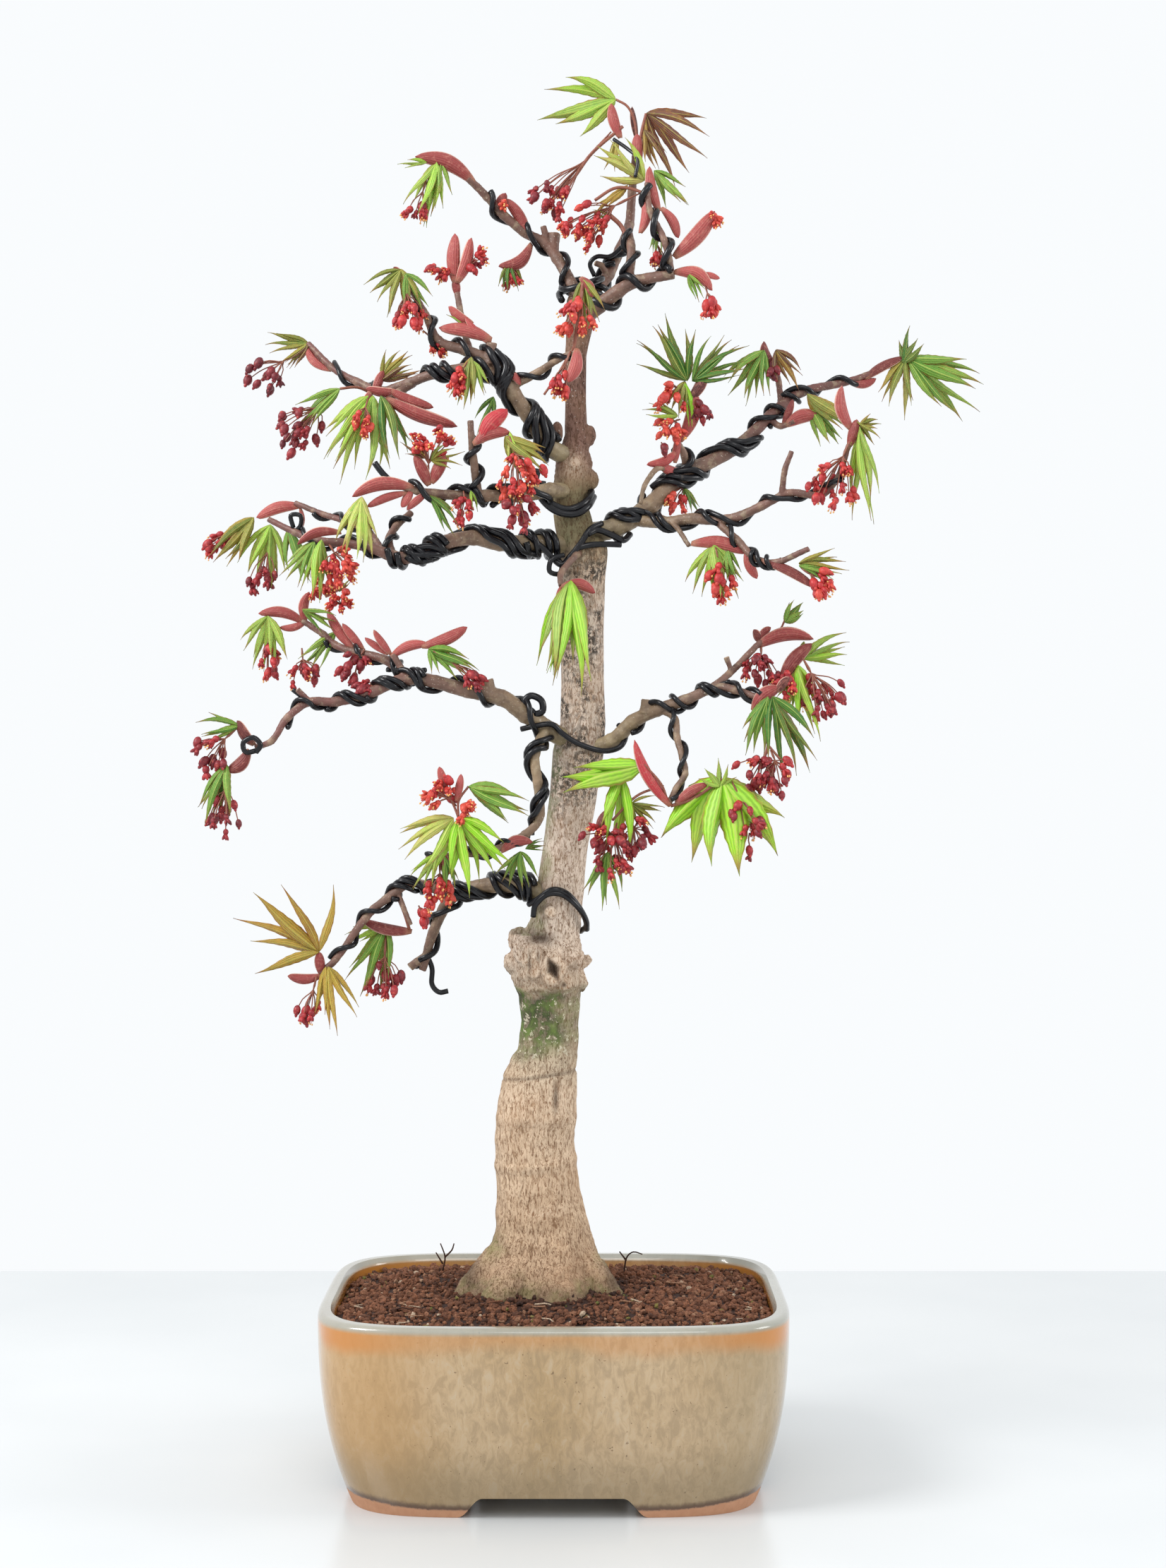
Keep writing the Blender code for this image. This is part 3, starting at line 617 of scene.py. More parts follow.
def rimmed(place, x, z, wide, tall, soft):  # a raised edge round a scar
    return math.exp(-((math.hypot((place.x - x) / wide, (place.z - z) / tall) - 1) / soft) ** 2)


def hollow(place):
    shape = trunkShape["hollow"]
    x, z = place.x - shape["x"], place.z - shape["z"]
    along, across = z - x * shape["tilt"], x + z * shape["lean"]
    return math.exp(-(abs(across) / shape["across"] + abs(along) / shape["along"]) ** 5)


def barkTone(place):
    front = 1.0 if place.y < 2 else 0.0
    wobble = noise.noise(place * 0.12) * 6
    callus = max(front * strongest(place, trunkShape["callus"]), strongest(place, trunkShape["callusRight"]))
    if place.z > 499:
        callus = 1.0  # the cut top
    above = clamp((place.z + wobble - trunkShape["mossFrom"]) / 8)
    below = clamp((trunkShape["mossTo"] + wobble * 0.6 - place.z) / 4)
    moss = above * below * clamp((trunkShape["mossSide"] + wobble - place.x) / 8, 0.45)
    if 228 < place.z < 312:  # a green streak up the left side above the knob
        moss = max(moss, 0.5 * clamp((-3 - (place.x - (place.z - 230) * 0.11) + wobble * 0.5) / 4))
    moss = max(moss, 0.55 * pit(place, -27, 97, 6, 6), 0.5 * pit(place, 23, 90, 6, 6),
            0.4 * clamp((86 + wobble - place.z) / 6))
    # dark stains, with painted shade in the hollow and in the scars' pits and cracks, a dark line along the groove at
    # 169 and a darker band at the soil line
    stainAndShade = max(strongest(place, trunkShape["stains"]), front * strongest(place, trunkShape["scarShades"]),
            1.3 * hollow(place) * front, 0.5 * ringed(place, 169, 0.12, 0.8), 0.35 * ringed(place, 74, 0, 8))
    return min(1.0, callus), min(1.0, moss), min(1.0, stainAndShade)


def barkMaterial():
    material, shader = newMaterial("trunkBark", Specular_IOR_Level=0.3)
    callus, moss, stainAndShade = toneOf(material)
    z = sidesAndHeight(material)[2]
    rise = {"Value": z, "From Min": 0.075, "From Max": 0.5}
    height = addNode(material.node_tree, "ShaderNodeMapRange", rise).outputs["Result"]
    base = ramp(height, (0.0, (0.4, 0.26, 0.16)), (0.08, (0.66, 0.48, 0.32)), (0.2, (0.74, 0.57, 0.41)),
            (0.24, (0.5, 0.4, 0.28)), (0.3, (0.46, 0.38, 0.28)), (0.34, (0.74, 0.6, 0.48)), (0.46, (0.76, 0.63, 0.53)),
            (0.56, (0.72, 0.6, 0.5)), (0.72, (0.62, 0.51, 0.41)), (0.75, (0.2, 0.185, 0.1)), (0.8, (0.17, 0.155, 0.08)),
            (0.83, (0.23, 0.13, 0.1)), (1.0, (0.17, 0.09, 0.065)))
    streaks = grain(material, 720, 5, 0.68, (1, 1, 0.28), 0.9)
    fibres = grain(material, 1500, 3, 0.62, (1, 1, 0.34), 0.9)
    base = mixed(ramp(streaks, (0.37, 0.85), (0.52, 0.0)), base, mixed(1.0, base, (0.36, 0.27, 0.2), "MULTIPLY"))
    base = mixed(ramp(fibres, (0.38, 0.9), (0.48, 0.0)), base, mixed(1.0, base, (0.3, 0.2, 0.14), "MULTIPLY"))
    base = mixed(ramp(grain(material, 34, 4, 0.6), (0.35, 0.4), (0.6, 0.0)), base, (0.42, 0.25, 0.14))
    upper = times(band(z, 0.262, 0.3), band(z, 0.4, 0.38))
    flecks = ramp(grain(material, 520, 4, 0.75), (0.47, 0.0), (0.51, 1.0))
    patches = ramp(grain(material, 62, 3, 0.6), (0.45, 0.1), (0.56, 0.9))
    base = mixed(times(upper, flecks, patches), base, (0.025, 0.02, 0.015))
    crown = band(z, 0.42, 0.44)
    dots = ramp(grain(material, 900, 2, 0.6), (0.66, 0.0), (0.7, 0.85))
    base = mixed(times(crown, dots), base, (0.55, 0.5, 0.45))
    velvet = mixed(ramp(grain(material, 130, 4, 0.65), (0.4, 0.0), (0.6, 1.0)), (0.03, 0.035, 0.02),
            (0.13, 0.18, 0.045))
    velvetHold = times(moss, ramp(grain(material, 260, 4, 0.7), (0.4, 0.6), (0.5, 1.0)))
    base = mixed(velvetHold, base, velvet)
    spots = ramp(grain(material, 330, 4, 0.7), (0.58, 0.0), (0.61, 0.85))
    base = mixed(times(band(z, 0.17, 0.18), band(z, 0.208, 0.2), spots), base, (0.6, 0.54, 0.4))
    base = mixed(times(callus, 0.7), base, mixed(ramp(fibres, (0.4, 0.0), (0.56, 1.0)), (0.4, 0.23, 0.13),
            (0.84, 0.67, 0.5)))
    # dark stains, and painted shade in the hollow and the scars
    base = mixed(times(stainAndShade, 0.92), base, (0.045, 0.025, 0.015))
    plug(base, shader, "Base Color")
    rough = mixed(0.4, streaks, fibres)
    roughen(shader, rough, 1.2, 0.85, 0.65, 0.95)
    return material


def buildTrunk():
    bm, tone = newShape()
    stations = [Vector(station[:3]) for station in trunkShape["stations"]]
    radii = [station[3] for station in trunkShape["stations"]]
    levels = []
    for k in range(len(stations) - 1):
        for step in range(3):
            t = step / 3
            eased = t * t * (3 - 2 * t)
            levels.append((stations[k].lerp(stations[k + 1], t), radii[k] + (radii[k + 1] - radii[k]) * eased))
    levels.append((stations[-1], radii[-1]))
    rows = []
    for middle, radius in levels:
        foot = clamp((104 - middle.z) / 26)  # fluted towards the roots
        row = []
        for i in range(trunkShape["sides"]):
            turn = 2 * math.pi * i / trunkShape["sides"]
            reach = radius * (1 + 0.1 * foot * math.cos(5 * turn) + 0.025 * math.sin(3 * turn + middle.z * 0.05))
            row.append(bm.verts.new(at(middle + reach * Vector((math.cos(turn), math.sin(turn), 0)))))
        rows.append(row)
    closeRows(bm, rows)
    for points, first, last in trunkShape["toes"]:
        route = smoothRoute(points, 3)
        radii = [first + (last - first) * i / (len(route) - 1) for i in range(len(route))]
        addTube(bm, tone, route, radii, 16)
    for middle, wide, tall in trunkShape["knobs"]:
        addBall(bm, tone, Vector(middle), Vector((0, 0, 1)), tall * 2, wide * 2, (0, 0, 0), 16, 10)
    mesh = merged(bm, "trunk_bark", trunkShape["voxel"])
    for vert, normal in zip(mesh.vertices, [vert.normal.copy() for vert in mesh.vertices]):
        place = (vert.co - potMiddle) / mm
        stretched = Vector((place.x, place.y, place.z * 0.22))
        lower = clamp((330 - place.z) / 150, 0.15)
        gnarled = sum(strength * ringed(place, *mark) for *mark, strength in trunkShape["gnarled"])
        lift = 0.42 * lower * noise.fractal(stretched * 0.42, 1.0, 2.0, 4) + 0.45 * noise.noise(place * 0.13) * lower
        lift += gnarled * (1.1 * noise.noise(place * 0.23) + 0.8 * noise.fractal(place * 0.5, 1.0, 2.0, 3))
        lift += sum(strength * ringed(place, *mark) for *mark, strength in trunkShape["swollen"])
        if place.y < 2:
            lift += sum(strength * rimmed(place, *mark) for *mark, strength in trunkShape["rims"])
            lift -= trunkShape["hollow"]["depth"] * hollow(place)
            lift -= sum(strength * pit(place, *mark) for *mark, strength in trunkShape["pits"])
            lift += 0.5 * ringed(place, 206, 0.1, 1.4)
        lift -= 0.55 * ringed(place, 169, 0.12, 0.9)
        vert.co += normal * lift * mm
    paintMesh(mesh, barkTone)
    addPiece("trunk_bark", mesh, barkMaterial(), "trunk_bark", "trunk")


buildTrunk()
print("trunk")


# each limb is a list of stems: radius at its base, radius at its tip, places
limbs = {
    "limb_left_bottom": [
        (4.2, 1.7, [(1, 3, 240), (-7, 1, 246), (-14, 0, 249), (-26, 2, 249), (-38, 5, 247), (-46, 7, 241),
            (-52, 9, 229), (-57, 10, 212)]),
        (2.2, 1.4, [(-43, 6, 243), (-52, -4, 248), (-61, -11, 250), (-70, -13, 244), (-79, -15, 236), (-91, -17, 219),
            (-98, -18, 213)]),
        (1.5, 1.9, [(-55, 10, 219), (-59, 8, 216), (-62, 7, 213.5)]),
        (1.2, 0.9, [(-66, -12, 247), (-63, -14, 240), (-60, -15, 233)])],
    "limb_left_low": [
        (4.2, 1.2, [(9, 0, 309), (-1, -8, 314), (-12, -13, 321), (-22, -16, 328), (-36, -18, 331), (-60, -21, 336),
            (-76, -24, 330), (-90, -26, 326), (-101, -28, 326), (-110, -31, 319), (-116, -33, 310),
            (-123, -34, 307)]),
        (2.1, 1.3, [(-59, -20, 335), (-71, -12, 344), (-85, -4, 348), (-93, 1, 351), (-99, 4, 356), (-108, 7, 362)]),
        (2.4, 1.2, [(-3, -10, 316), (-8, -19, 305), (-7, -21, 293), (-6, -20, 279), (-12, -20, 271), (-27, -24, 264),
            (-40, -26, 263), (-53, -28, 261)]),
        (2.6, 2.4, [(-26, -17, 329), (-28, -17, 335.5)]),
        (1.4, 1.1, [(-101, -28, 326), (-106, -29, 331)]),
        (1.6, 1.3, [(-62, -21, 337), (-67, -21, 346)])],
    "limb_left_mid": [
        (4.2, 1.2, [(10, 0, 392), (-2, -7, 393), (-23, -14, 393), (-34, -16, 395), (-45, -19, 393), (-53, -21, 389),
            (-61, -23, 386), (-68, -24, 387), (-80, -24, 391), (-98, -21, 393), (-108, -17, 397), (-120, -12, 403)]),
        (1.7, 1.5, [(-67, -23, 387), (-69, -18, 394), (-66, -15, 400), (-60, -12, 406)]),
        (1.6, 1.2, [(-71, -24, 388), (-78, -12, 398), (-88, -3, 403), (-98, 5, 407), (-112, 15, 413)])],
    "limb_left_front": [
        (3.6, 1.4, [(7, 0, 416), (-2, -14, 415), (-14, -22, 412), (-28, -29, 411), (-49, -35, 411), (-59, -38, 413),
            (-70, -41, 417)]),
        (1.9, 1.3, [(-31, -31, 411), (-33, -34, 425), (-34, -36, 441)])],
    "limb_left_high": [
        (4.2, 1.2, [(8, 0, 430), (-2, -8, 434), (-8, -14, 442), (-17, -17, 455), (-24, -18, 467), (-37, -17, 473),
            (-49, -15, 478), (-54, -13, 489), (-62, -12, 503)]),
        (2.5, 1.3, [(-20, -18, 461), (-33, -21, 465), (-50, -19, 463), (-61, -14, 460), (-73, -6, 458), (-84, 2, 463),
            (-96, 11, 471), (-107, 20, 483)]),
        (2.0, 1.2, [(-18, -18, 458), (-7, -21, 463), (1, -27, 467), (9, -32, 470)]),
        (1.5, 1.3, [(-35, -17, 472), (-38, -12, 483), (-41, -8, 499)]),
        (1.8, 1.4, [(-59, -14, 460), (-66, -18, 455), (-71, -21, 450)]),
        (2.4, 2.2, [(-27, -19, 467), (-26, -19, 476)])],
    "limb_right_high": [
        (4.6, 1.1, [(10, 0, 398), (26, -1, 401), (40, 1, 410), (55, 5, 424), (77, 11, 436), (93, 16, 451),
            (107, 21, 462), (126, 26, 467), (149, 30, 476)]),
        (2.7, 1.1, [(34, -1, 404), (46, -10, 402), (58, -15, 403), (72, -20, 402), (86, -25, 407), (97, -29, 412),
            (110, -33, 411), (117, -35, 419), (121, -37, 431)]),
        (1.7, 1.2, [(67, -19, 402), (76, -25, 393), (83, -31, 385), (92, -36, 383), (104, -41, 388)]),
        (1.5, 1.1, [(98, 18, 456), (97, 20, 466), (95, 20, 476)]),
        (1.5, 1.2, [(92, 15, 450), (97, 12, 446), (103, 9, 448)]),
        (1.4, 1.1, [(94, -28, 410), (95, -31, 421), (98, -32, 429)]),
        (1.8, 1.4, [(56, 6, 426), (55, 1, 432), (52, -1, 437)]),
        (1.5, 0.9, [(50, 4, 424), (44, -4, 426), (38, -7, 418), (36, -8, 410)]),
        (1.4, 1.0, [(44, 1, 406), (50, -14, 401), (56, -22, 391)])],
    "limb_right_low": [
        (3.9, 1.3, [(11, 0, 306), (24, -8, 310), (33, -13, 318), (43, -17, 323), (55, -20, 327), (67, -22, 332),
            (75, -25, 331), (86, -30, 327)]),
        (1.6, 1.3, [(64, -21, 331), (73, -16, 338), (80, -12, 345), (87, -9, 352)]),
        (1.6, 1.2, [(45, -17, 323), (50, -22, 319), (51, -26, 311), (53, -29, 303), (54, -31, 296), (50, -33, 290),
            (47, -34, 283)]),
        (2.7, 2.5, [(38, -16, 321), (39, -15, 327)]),
        (1.0, 1.2, [(74, -16, 339), (72, -17, 345)])],
    "limb_crown_left": [
        (2.8, 1.6, [(11, 0, 493), (7, 3, 505), (1, 7, 517), (-5, 8, 524), (-13, 7, 528), (-22, 5, 535), (-29, 2, 542),
            (-37, -2, 549)]),
        (2.5, 2.4, [(-1, 8, 519), (0, 9, 528)]),
        (1.5, 1.3, [(-3, 8, 523), (-5, 8, 531)])],
    "limb_crown_middle": [
        (3.0, 1.4, [(11, 1, 491), (17, 8, 503), (23, 11, 511), (28, 12, 522), (32, 12, 532), (33, 10, 546),
            (35, 6, 566)]),
        (1.6, 1.2, [(22, 10, 511), (20, 8, 514), (17, 7, 515)])],
    "limb_crown_right": [
        (3.6, 2.0, [(11, -1, 489), (19, -7, 494), (27, -11, 499), (35, -13, 503), (50, -17, 505)]),
        (2.1, 1.6, [(31, -12, 502), (32, -13, 511), (32, -10, 519), (31, 2, 530)]),
        (1.5, 1.2, [(49, -17, 505), (46, -17, 519), (40, -14, 532), (39, -10, 545)])],
    "twig_front": [
        (1.7, 1.2, [(12, 0, 391), (9, -13, 388), (3, -20, 380), (3, -24, 374)])],
}
limbLook = {"voxel": 0.42, "knuckle": 0.1, "sides": 12, "stub": 16}  # a stem shorter than stub ends in a cut


def stemOf(limbName, number):
    base, tip, points = limbs[limbName][number]
    route = smoothRoute(points)
    along = lengthsAlong(route)
    return route, [base + (tip - base) * reached / along[-1] for reached in along], along


def youngBarkMaterial():
    material, shader = newMaterial("youngBark", Specular_IOR_Level=0.45)
    away, cut = toneOf(material)[:2]
    base = ramp(away, (0.0, (0.3, 0.25, 0.14)), (0.25, (0.27, 0.19, 0.11)), (0.55, (0.19, 0.105, 0.075)),
            (1.0, (0.16, 0.06, 0.05)))
    soft = grain(material, 160, 4, 0.6)
    base = mixed(ramp(soft, (0.35, 0.6), (0.6, 0.0)), base, (0.085, 0.05, 0.035))
    base = mixed(ramp(grain(material, 240, 3, 0.6), (0.55, 0.0), (0.68, 0.5)), base, (0.36, 0.28, 0.18))
    dots = ramp(grain(material, 1200, 2, 0.6), (0.66, 0.0), (0.71, 0.8))
    base = mixed(dots, base, (0.5, 0.42, 0.34))
    base = mixed(cut, base, mixed(soft, (0.33, 0.2, 0.11), (0.6, 0.45, 0.3)))
    plug(base, shader, "Base Color")
    roughen(shader, mixed(0.5, soft, grain(material, 900, 3)), 0.35, 0.5, 0.38, 0.65)
    return material


def buildLimbs():
    material = youngBarkMaterial()
    for name, stems in limbs.items():
        bm, tone = newShape()
        rings, ends = [], []
        for number in range(len(stems)):
            points = [Vector(point) for point in stems[number][2]]
            route, radii, along = stemOf(name, number)
            wobbly = [place + 0.3 * noise.noise_vector(place * 0.09) for place in route]
            knuckled = []
            for place, radius in zip(route, radii):
                near = min((place - point).length for point in points[1:-1] or points)
                knuckled.append(radius * (1 + limbLook["knuckle"] * math.exp(-(near / 1.3) ** 2)))
            addTube(bm, tone, wobbly, knuckled, limbLook["sides"])
            rings.extend(points[1:-1])
            if along[-1] < limbLook["stub"]:
                ends.append((points[-1], radii[-1]))
        mesh = merged(bm, name, limbLook["voxel"])
        start = Vector(stems[0][2][0])
        for vert, normal in zip(mesh.vertices, [vert.normal.copy() for vert in mesh.vertices]):
            place = (vert.co - potMiddle) / mm
            vert.co += normal * (0.16 * noise.noise(place * 0.5) + 0.09 * noise.noise(place * 1.6)) * mm

        def paint(place):
            away = min(1.0, (place - start).length / 110)
            if name.startswith("limb_crown") or name == "twig_front":
                away = 0.5 + away / 2
            cut = max([0.9 * math.exp(-((place - end).length / (radius * 0.9)) ** 4) for end, radius in ends] or [0.0])
            node = max([0.45 * math.exp(-((place - point).length / 2.1) ** 4) for point in rings] or [0.0])
            return away, max(cut, node * (0.5 + noise.noise(place * 0.3))), 0.0

        paintMesh(mesh, paint)
        addPiece(f"{name}_bark", mesh, material, "limb_bark", name)


buildLimbs()
print("limbs")


# strands wound on a stem of a limb: start and end along it, wire radius, pitch, phase in turns
wires = {
    "wire_left_bottom": {
        ("limb_left_bottom", 0): [(11, 48, 1.4, 24, 0), (11, 48, 1.4, 24, 0.16), (11, 46, 1.4, 24, 0.32),
            (14, 40, 1.3, 15, 0.6), (48, 98, 1.3, 22, 0.1)],
        ("limb_left_bottom", 1): [(3, 40, 1.15, 20, 0.3), (3, 72, 1.05, 20, 0.48), (14, 36, 1.15, 14, 0.9)]},
    "wire_left_low": {
        ("limb_left_low", 0): [(18, 84, 1.25, 26, 0.2), (74, 138, 1.1, 17, 0.6), (74, 116, 1.15, 17, 0.8),
            (70, 100, 1.1, 13, 0.1)],
        ("limb_left_low", 1): [(0, 48, 1.05, 20, 0), (0, 14, 1.1, 8, 0.5)]},
    "wire_left_hanging": {
        ("limb_left_low", 2): [(4, 50, 1.3, 22, 0), (4, 44, 1.3, 22, 0.2), (50, 98, 0.95, 16, 0)]},
    "wire_left_mid": {
        ("limb_left_mid", 0): [(12, 26, 1.4, 9, 0), (12, 26, 1.4, 9, 0.4), (20, 78, 1.4, 38, 0),
            (20, 78, 1.4, 38, 0.13), (20, 74, 1.4, 38, 0.26), (60, 86, 1.45, 11, 0.2), (60, 82, 1.4, 11, 0.5),
            (86, 130, 1.05, 22, 0)],
        ("limb_left_mid", 1): [(0, 22, 1.2, 13, 0)],
        ("limb_left_mid", 2): [(4, 50, 1.05, 20, 0)]},
    "wire_left_front": {
        ("limb_left_front", 0): [(12, 44, 1.4, 26, 0), (34, 80, 1.3, 20, 0.5), (34, 60, 1.3, 12, 0)],
        ("limb_left_front", 1): [(0, 24, 1.3, 12, 0)]},
    "wire_left_high": {
        ("limb_left_high", 0): [(12, 64, 1.6, 30, 0), (12, 64, 1.6, 30, 0.14), (12, 58, 1.5, 30, 0.28),
            (14, 52, 1.5, 19, 0.65), (62, 102, 1.2, 17, 0)],
        ("limb_left_high", 1): [(4, 40, 1.35, 18, 0), (4, 34, 1.35, 18, 0.22), (14, 30, 1.3, 10, 0.5),
            (46, 90, 1.05, 24, 0)],
        ("limb_left_high", 2): [(0, 32, 1.1, 18, 0)]},
    "wire_right_high": {
        ("limb_right_high", 0): [(12, 92, 1.4, 29, 0), (12, 92, 1.4, 29, 0.13), (40, 92, 1.35, 29, 0.26),
            (92, 150, 1.15, 21, 0.1), (98, 118, 1.1, 9, 0.6), (14, 34, 1.3, 12, 0.6)]},
    "wire_right_mid": {
        ("limb_right_high", 1): [(4, 96, 1.15, 25, 0), (4, 40, 1.15, 25, 0.18)],
        ("limb_right_high", 2): [(2, 38, 1.05, 17, 0), (24, 36, 1.0, 8, 0.4)],
        ("limb_right_high", 6): [(0, 12, 1.4, 9, 0)]},
    "wire_right_low": {
        ("limb_right_low", 0): [(26, 94, 1.15, 23, 0.7), (48, 72, 1.1, 12, 0.2), (66, 94, 1.1, 23, 0.9)],
        ("limb_right_low", 2): [(0, 46, 1.05, 19, 0)]},
    "wire_crown": {
        ("limb_crown_left", 0): [(8, 68, 1.25, 23, 0)],
        ("limb_crown_middle", 0): [(6, 44, 1.3, 19, 0), (6, 30, 1.3, 19, 0.3)],
        ("limb_crown_right", 0): [(4, 54, 1.45, 17, 0), (8, 48, 1.45, 17, 0.25)],
        ("limb_crown_right", 1): [(1, 24, 1.2, 15, 0)],
        ("limb_crown_right", 2): [(1, 40, 1.4, 15, 0)]},
}
wireLook = {"sides": 9, "stepsPerTurn": 22}
wireRuns = {  # lengths that cross the trunk or stand free: wire radius and places
    "wire_left_bottom": [
        (1.25, [(-9, -7, 236), (-8, -8.5, 241), (-3, -9.5, 245.5), (3, -9.5, 245.5), (8, -8.5, 242), (12, -5.5, 237),
            (13.5, 0, 232), (11, 7, 229)]),
        (1.25, [(-11, -4, 241), (-7, -8, 243.5), (-1, -9.8, 247.5), (5, -9, 246), (10, -7.2, 240.5),
            (13.2, -3, 234.5), (13.6, 2, 230)]),
        (1.15, [(-56, 12, 220), (-53, 12, 213), (-53, 12, 206), (-50, 12, 202.5), (-46, 12, 203)])],
    "wire_left_low": [
        (1.2, [(-14, -13, 315), (-7, -15, 316.5), (-1, -14, 317), (3, -12.5, 313.5), (9, -12.4, 309.5),
            (17, -12.2, 306.5), (23, -13, 306), (28, -13, 308), (30, -9, 313), (27, -5, 317)]),
        (1.5, [(-7, -13, 318), (-9, -14, 322), (-13, -14, 325.5), (-10, -14, 329), (-5.5, -14, 327), (-5, -14, 322.5),
            (-8.5, -14, 321)]),
        (1.0, [(-98, -27, 324), (-104, -28, 328), (-108, -28, 331)]),
        (1.1, [(-121, -35, 306), (-126, -37, 305), (-127, -37, 309), (-123, -37, 311), (-120, -37, 308),
            (-122, -36, 305)])],
    "wire_left_mid": [
        (1.3, [(-12, -14, 397), (-5, -14, 391), (-1, -13, 387), (3, -13, 384), (7, -12.4, 388), (11, -12, 393),
            (15, -11, 399), (20, -7, 402)]),
        (1.1, [(4, -14, 388), (-1, -16, 386), (-2, -16, 381), (2, -15, 380), (3, -13, 384), (0, -13, 388)]),
        (1.0, [(-109, -17, 399), (-110, -18, 404), (-106, -18, 404), (-106, -17, 400), (-109, -16, 397)])],
    "wire_left_front": [
        (1.55, [(-5, -13, 419), (-5, -13, 413), (0, -12, 409), (6, -11, 407.5), (12, -9, 410), (15.5, -3, 415),
            (14, 4, 419)]),
        (1.55, [(-7, -14, 424), (-8, -14, 417), (-4, -13.5, 410), (2, -12.5, 406), (9, -11.2, 405.5), (14, -8, 409),
            (16.5, -1, 414)]),
        (1.3, [(-66, -40, 415), (-70, -41, 419), (-73, -41, 423)])],
    "wire_right_high": [
        (1.4, [(14, -12, 397), (18, -9, 399), (24, -8, 397), (29, -6, 395), (32, -1, 398)]),
        (1.3, [(9, -12, 391), (15, -11, 392.5), (22, -9, 393), (28, -7, 393)])],
    "wire_crown": [
        (1.5, [(3, -3, 497), (2, 3, 501), (6, 8, 504), (13, 8.5, 506), (19, 4, 507), (19.5, -3, 506), (14, -8, 503),
            (7, -7, 501), (3, -2, 502), (5, 5, 506), (11, 8, 508)]),
        (1.0, [(17, 6, 509), (15, 5, 514), (18, 4, 517), (24, 3, 517), (30, 1, 522)]),
        (0.8, [(25, 0, 566), (31, -3, 561), (35, -6, 556), (34, -7, 548)])],
}


def wireMaterial():
    material, shader = newMaterial("blackWire", Specular_IOR_Level=0.35)
    worn = grain(material, 300, 3, 0.6)
    plug(ramp(worn, (0.4, (0.004, 0.004, 0.006)), (0.66, (0.01, 0.01, 0.012)), (0.8, (0.06, 0.05, 0.045))), shader,
            "Base Color")
    roughen(shader, worn, 0.05, 0.25, 0.16, 0.3)
    return material


def coilRoute(limbName, number, start, end, wireRadius, pitch, phase):
    route, radii, along = stemOf(limbName, number)
    frames = list(sidesOf(route))
    end = min(end, along[-1] - 0.5)
    steps = max(6, round((end - start) / pitch * wireLook["stepsPerTurn"]))
    coil, k = [], 0
    for i in range(steps + 1):
        reached = start + (end - start) * i / steps
        while k < len(along) - 2 and along[k + 1] < reached:
            k += 1
        part = (reached - along[k]) / max(1e-6, along[k + 1] - along[k])
        ahead, side, other = frames[k]
        turn = 2 * math.pi * ((reached - start) / pitch + phase + 0.05 * math.sin(reached * 0.4))
        reach = radii[k] * 1.04 + wireRadius * 0.95
        coil.append(route[k].lerp(route[k + 1], part) + reach * (side * math.cos(turn) + other * math.sin(turn)))
    return coil


def buildWires():
    material = wireMaterial()
    for name, strands in wires.items():
        bm, tone = newShape()
        for (limbName, number), group in strands.items():
            for start, end, wireRadius, pitch, phase in group:
                coil = coilRoute(limbName, number, start, end, wireRadius, pitch, phase)
                addTube(bm, tone, coil, [wireRadius] * len(coil), wireLook["sides"])
        for wireRadius, points in wireRuns.get(name, []):
            route = smoothRoute(points, 1.0)
            addTube(bm, tone, route, [wireRadius] * len(route), wireLook["sides"])
        nodes = [name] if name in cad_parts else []
        addPiece(f"{name}_coils", meshOf(bm, name), material, "wire_metal", *nodes)


buildWires()
print("wires")


leafTints = {"bronze": 0.0, "ochre": 0.12, "olive": 0.27, "dark": 0.42, "green": 0.57, "lime": 0.72, "bright": 0.86,
        "pale": 1.0}


def leafMaterial():
    material, shader = newMaterial("newLeaf", Specular_IOR_Level=0.4, Subsurface_Weight=0.12, Subsurface_Scale=0.002)
    along, across, tint = toneOf(material)
    patchy = grain(material, 260, 3, 0.6)
    shifted = plus(tint, times(minus(patchy, 0.5), 0.16))
    colour = ramp(shifted, (0.0, (0.17, 0.075, 0.045)), (0.12, (0.5, 0.31, 0.045)), (0.27, (0.27, 0.27, 0.05)),
            (0.42, (0.05, 0.17, 0.022)), (0.57, (0.165, 0.33, 0.045)), (0.72, (0.36, 0.5, 0.085)),
            (0.86, (0.3, 0.66, 0.018)), (1.0, (0.56, 0.52, 0.15)))
    half = maths("ABSOLUTE", minus(across, 0.5))
    veins = maths("SINE", minus(times(along, 60), times(half, 34)))
    pleats = maths("SINE", times(half, 38))
    ribbed = plus(times(veins, 0.1), times(pleats, 0.4))
    ribbed = plus(ribbed, 0.5)
    colour = mixed(ramp(ribbed, (0.2, 0.6), (0.6, 0.0)), colour, mixed(1.0, colour, (0.4, 0.5, 0.4), "MULTIPLY"))
    colour = mixed(times(band(half, 0.05, 0.01), 0.6), colour, (0.5, 0.52, 0.12))
    rosy = times(maths("MAXIMUM", band(half, 0.4, 0.5), band(along, 0.66, 0.98)),
            ramp(grain(material, 120, 2), (0.35, 0.1), (0.6, 0.85)))
    colour = mixed(rosy, colour, mixed(band(along, 0.85, 1.0), (0.34, 0.13, 0.04), (0.13, 0.04, 0.025)))
    plug(colour, shader, "Base Color")
    roughen(shader, ribbed, 0.35, 0.5, 0.35, 0.6)
    return material


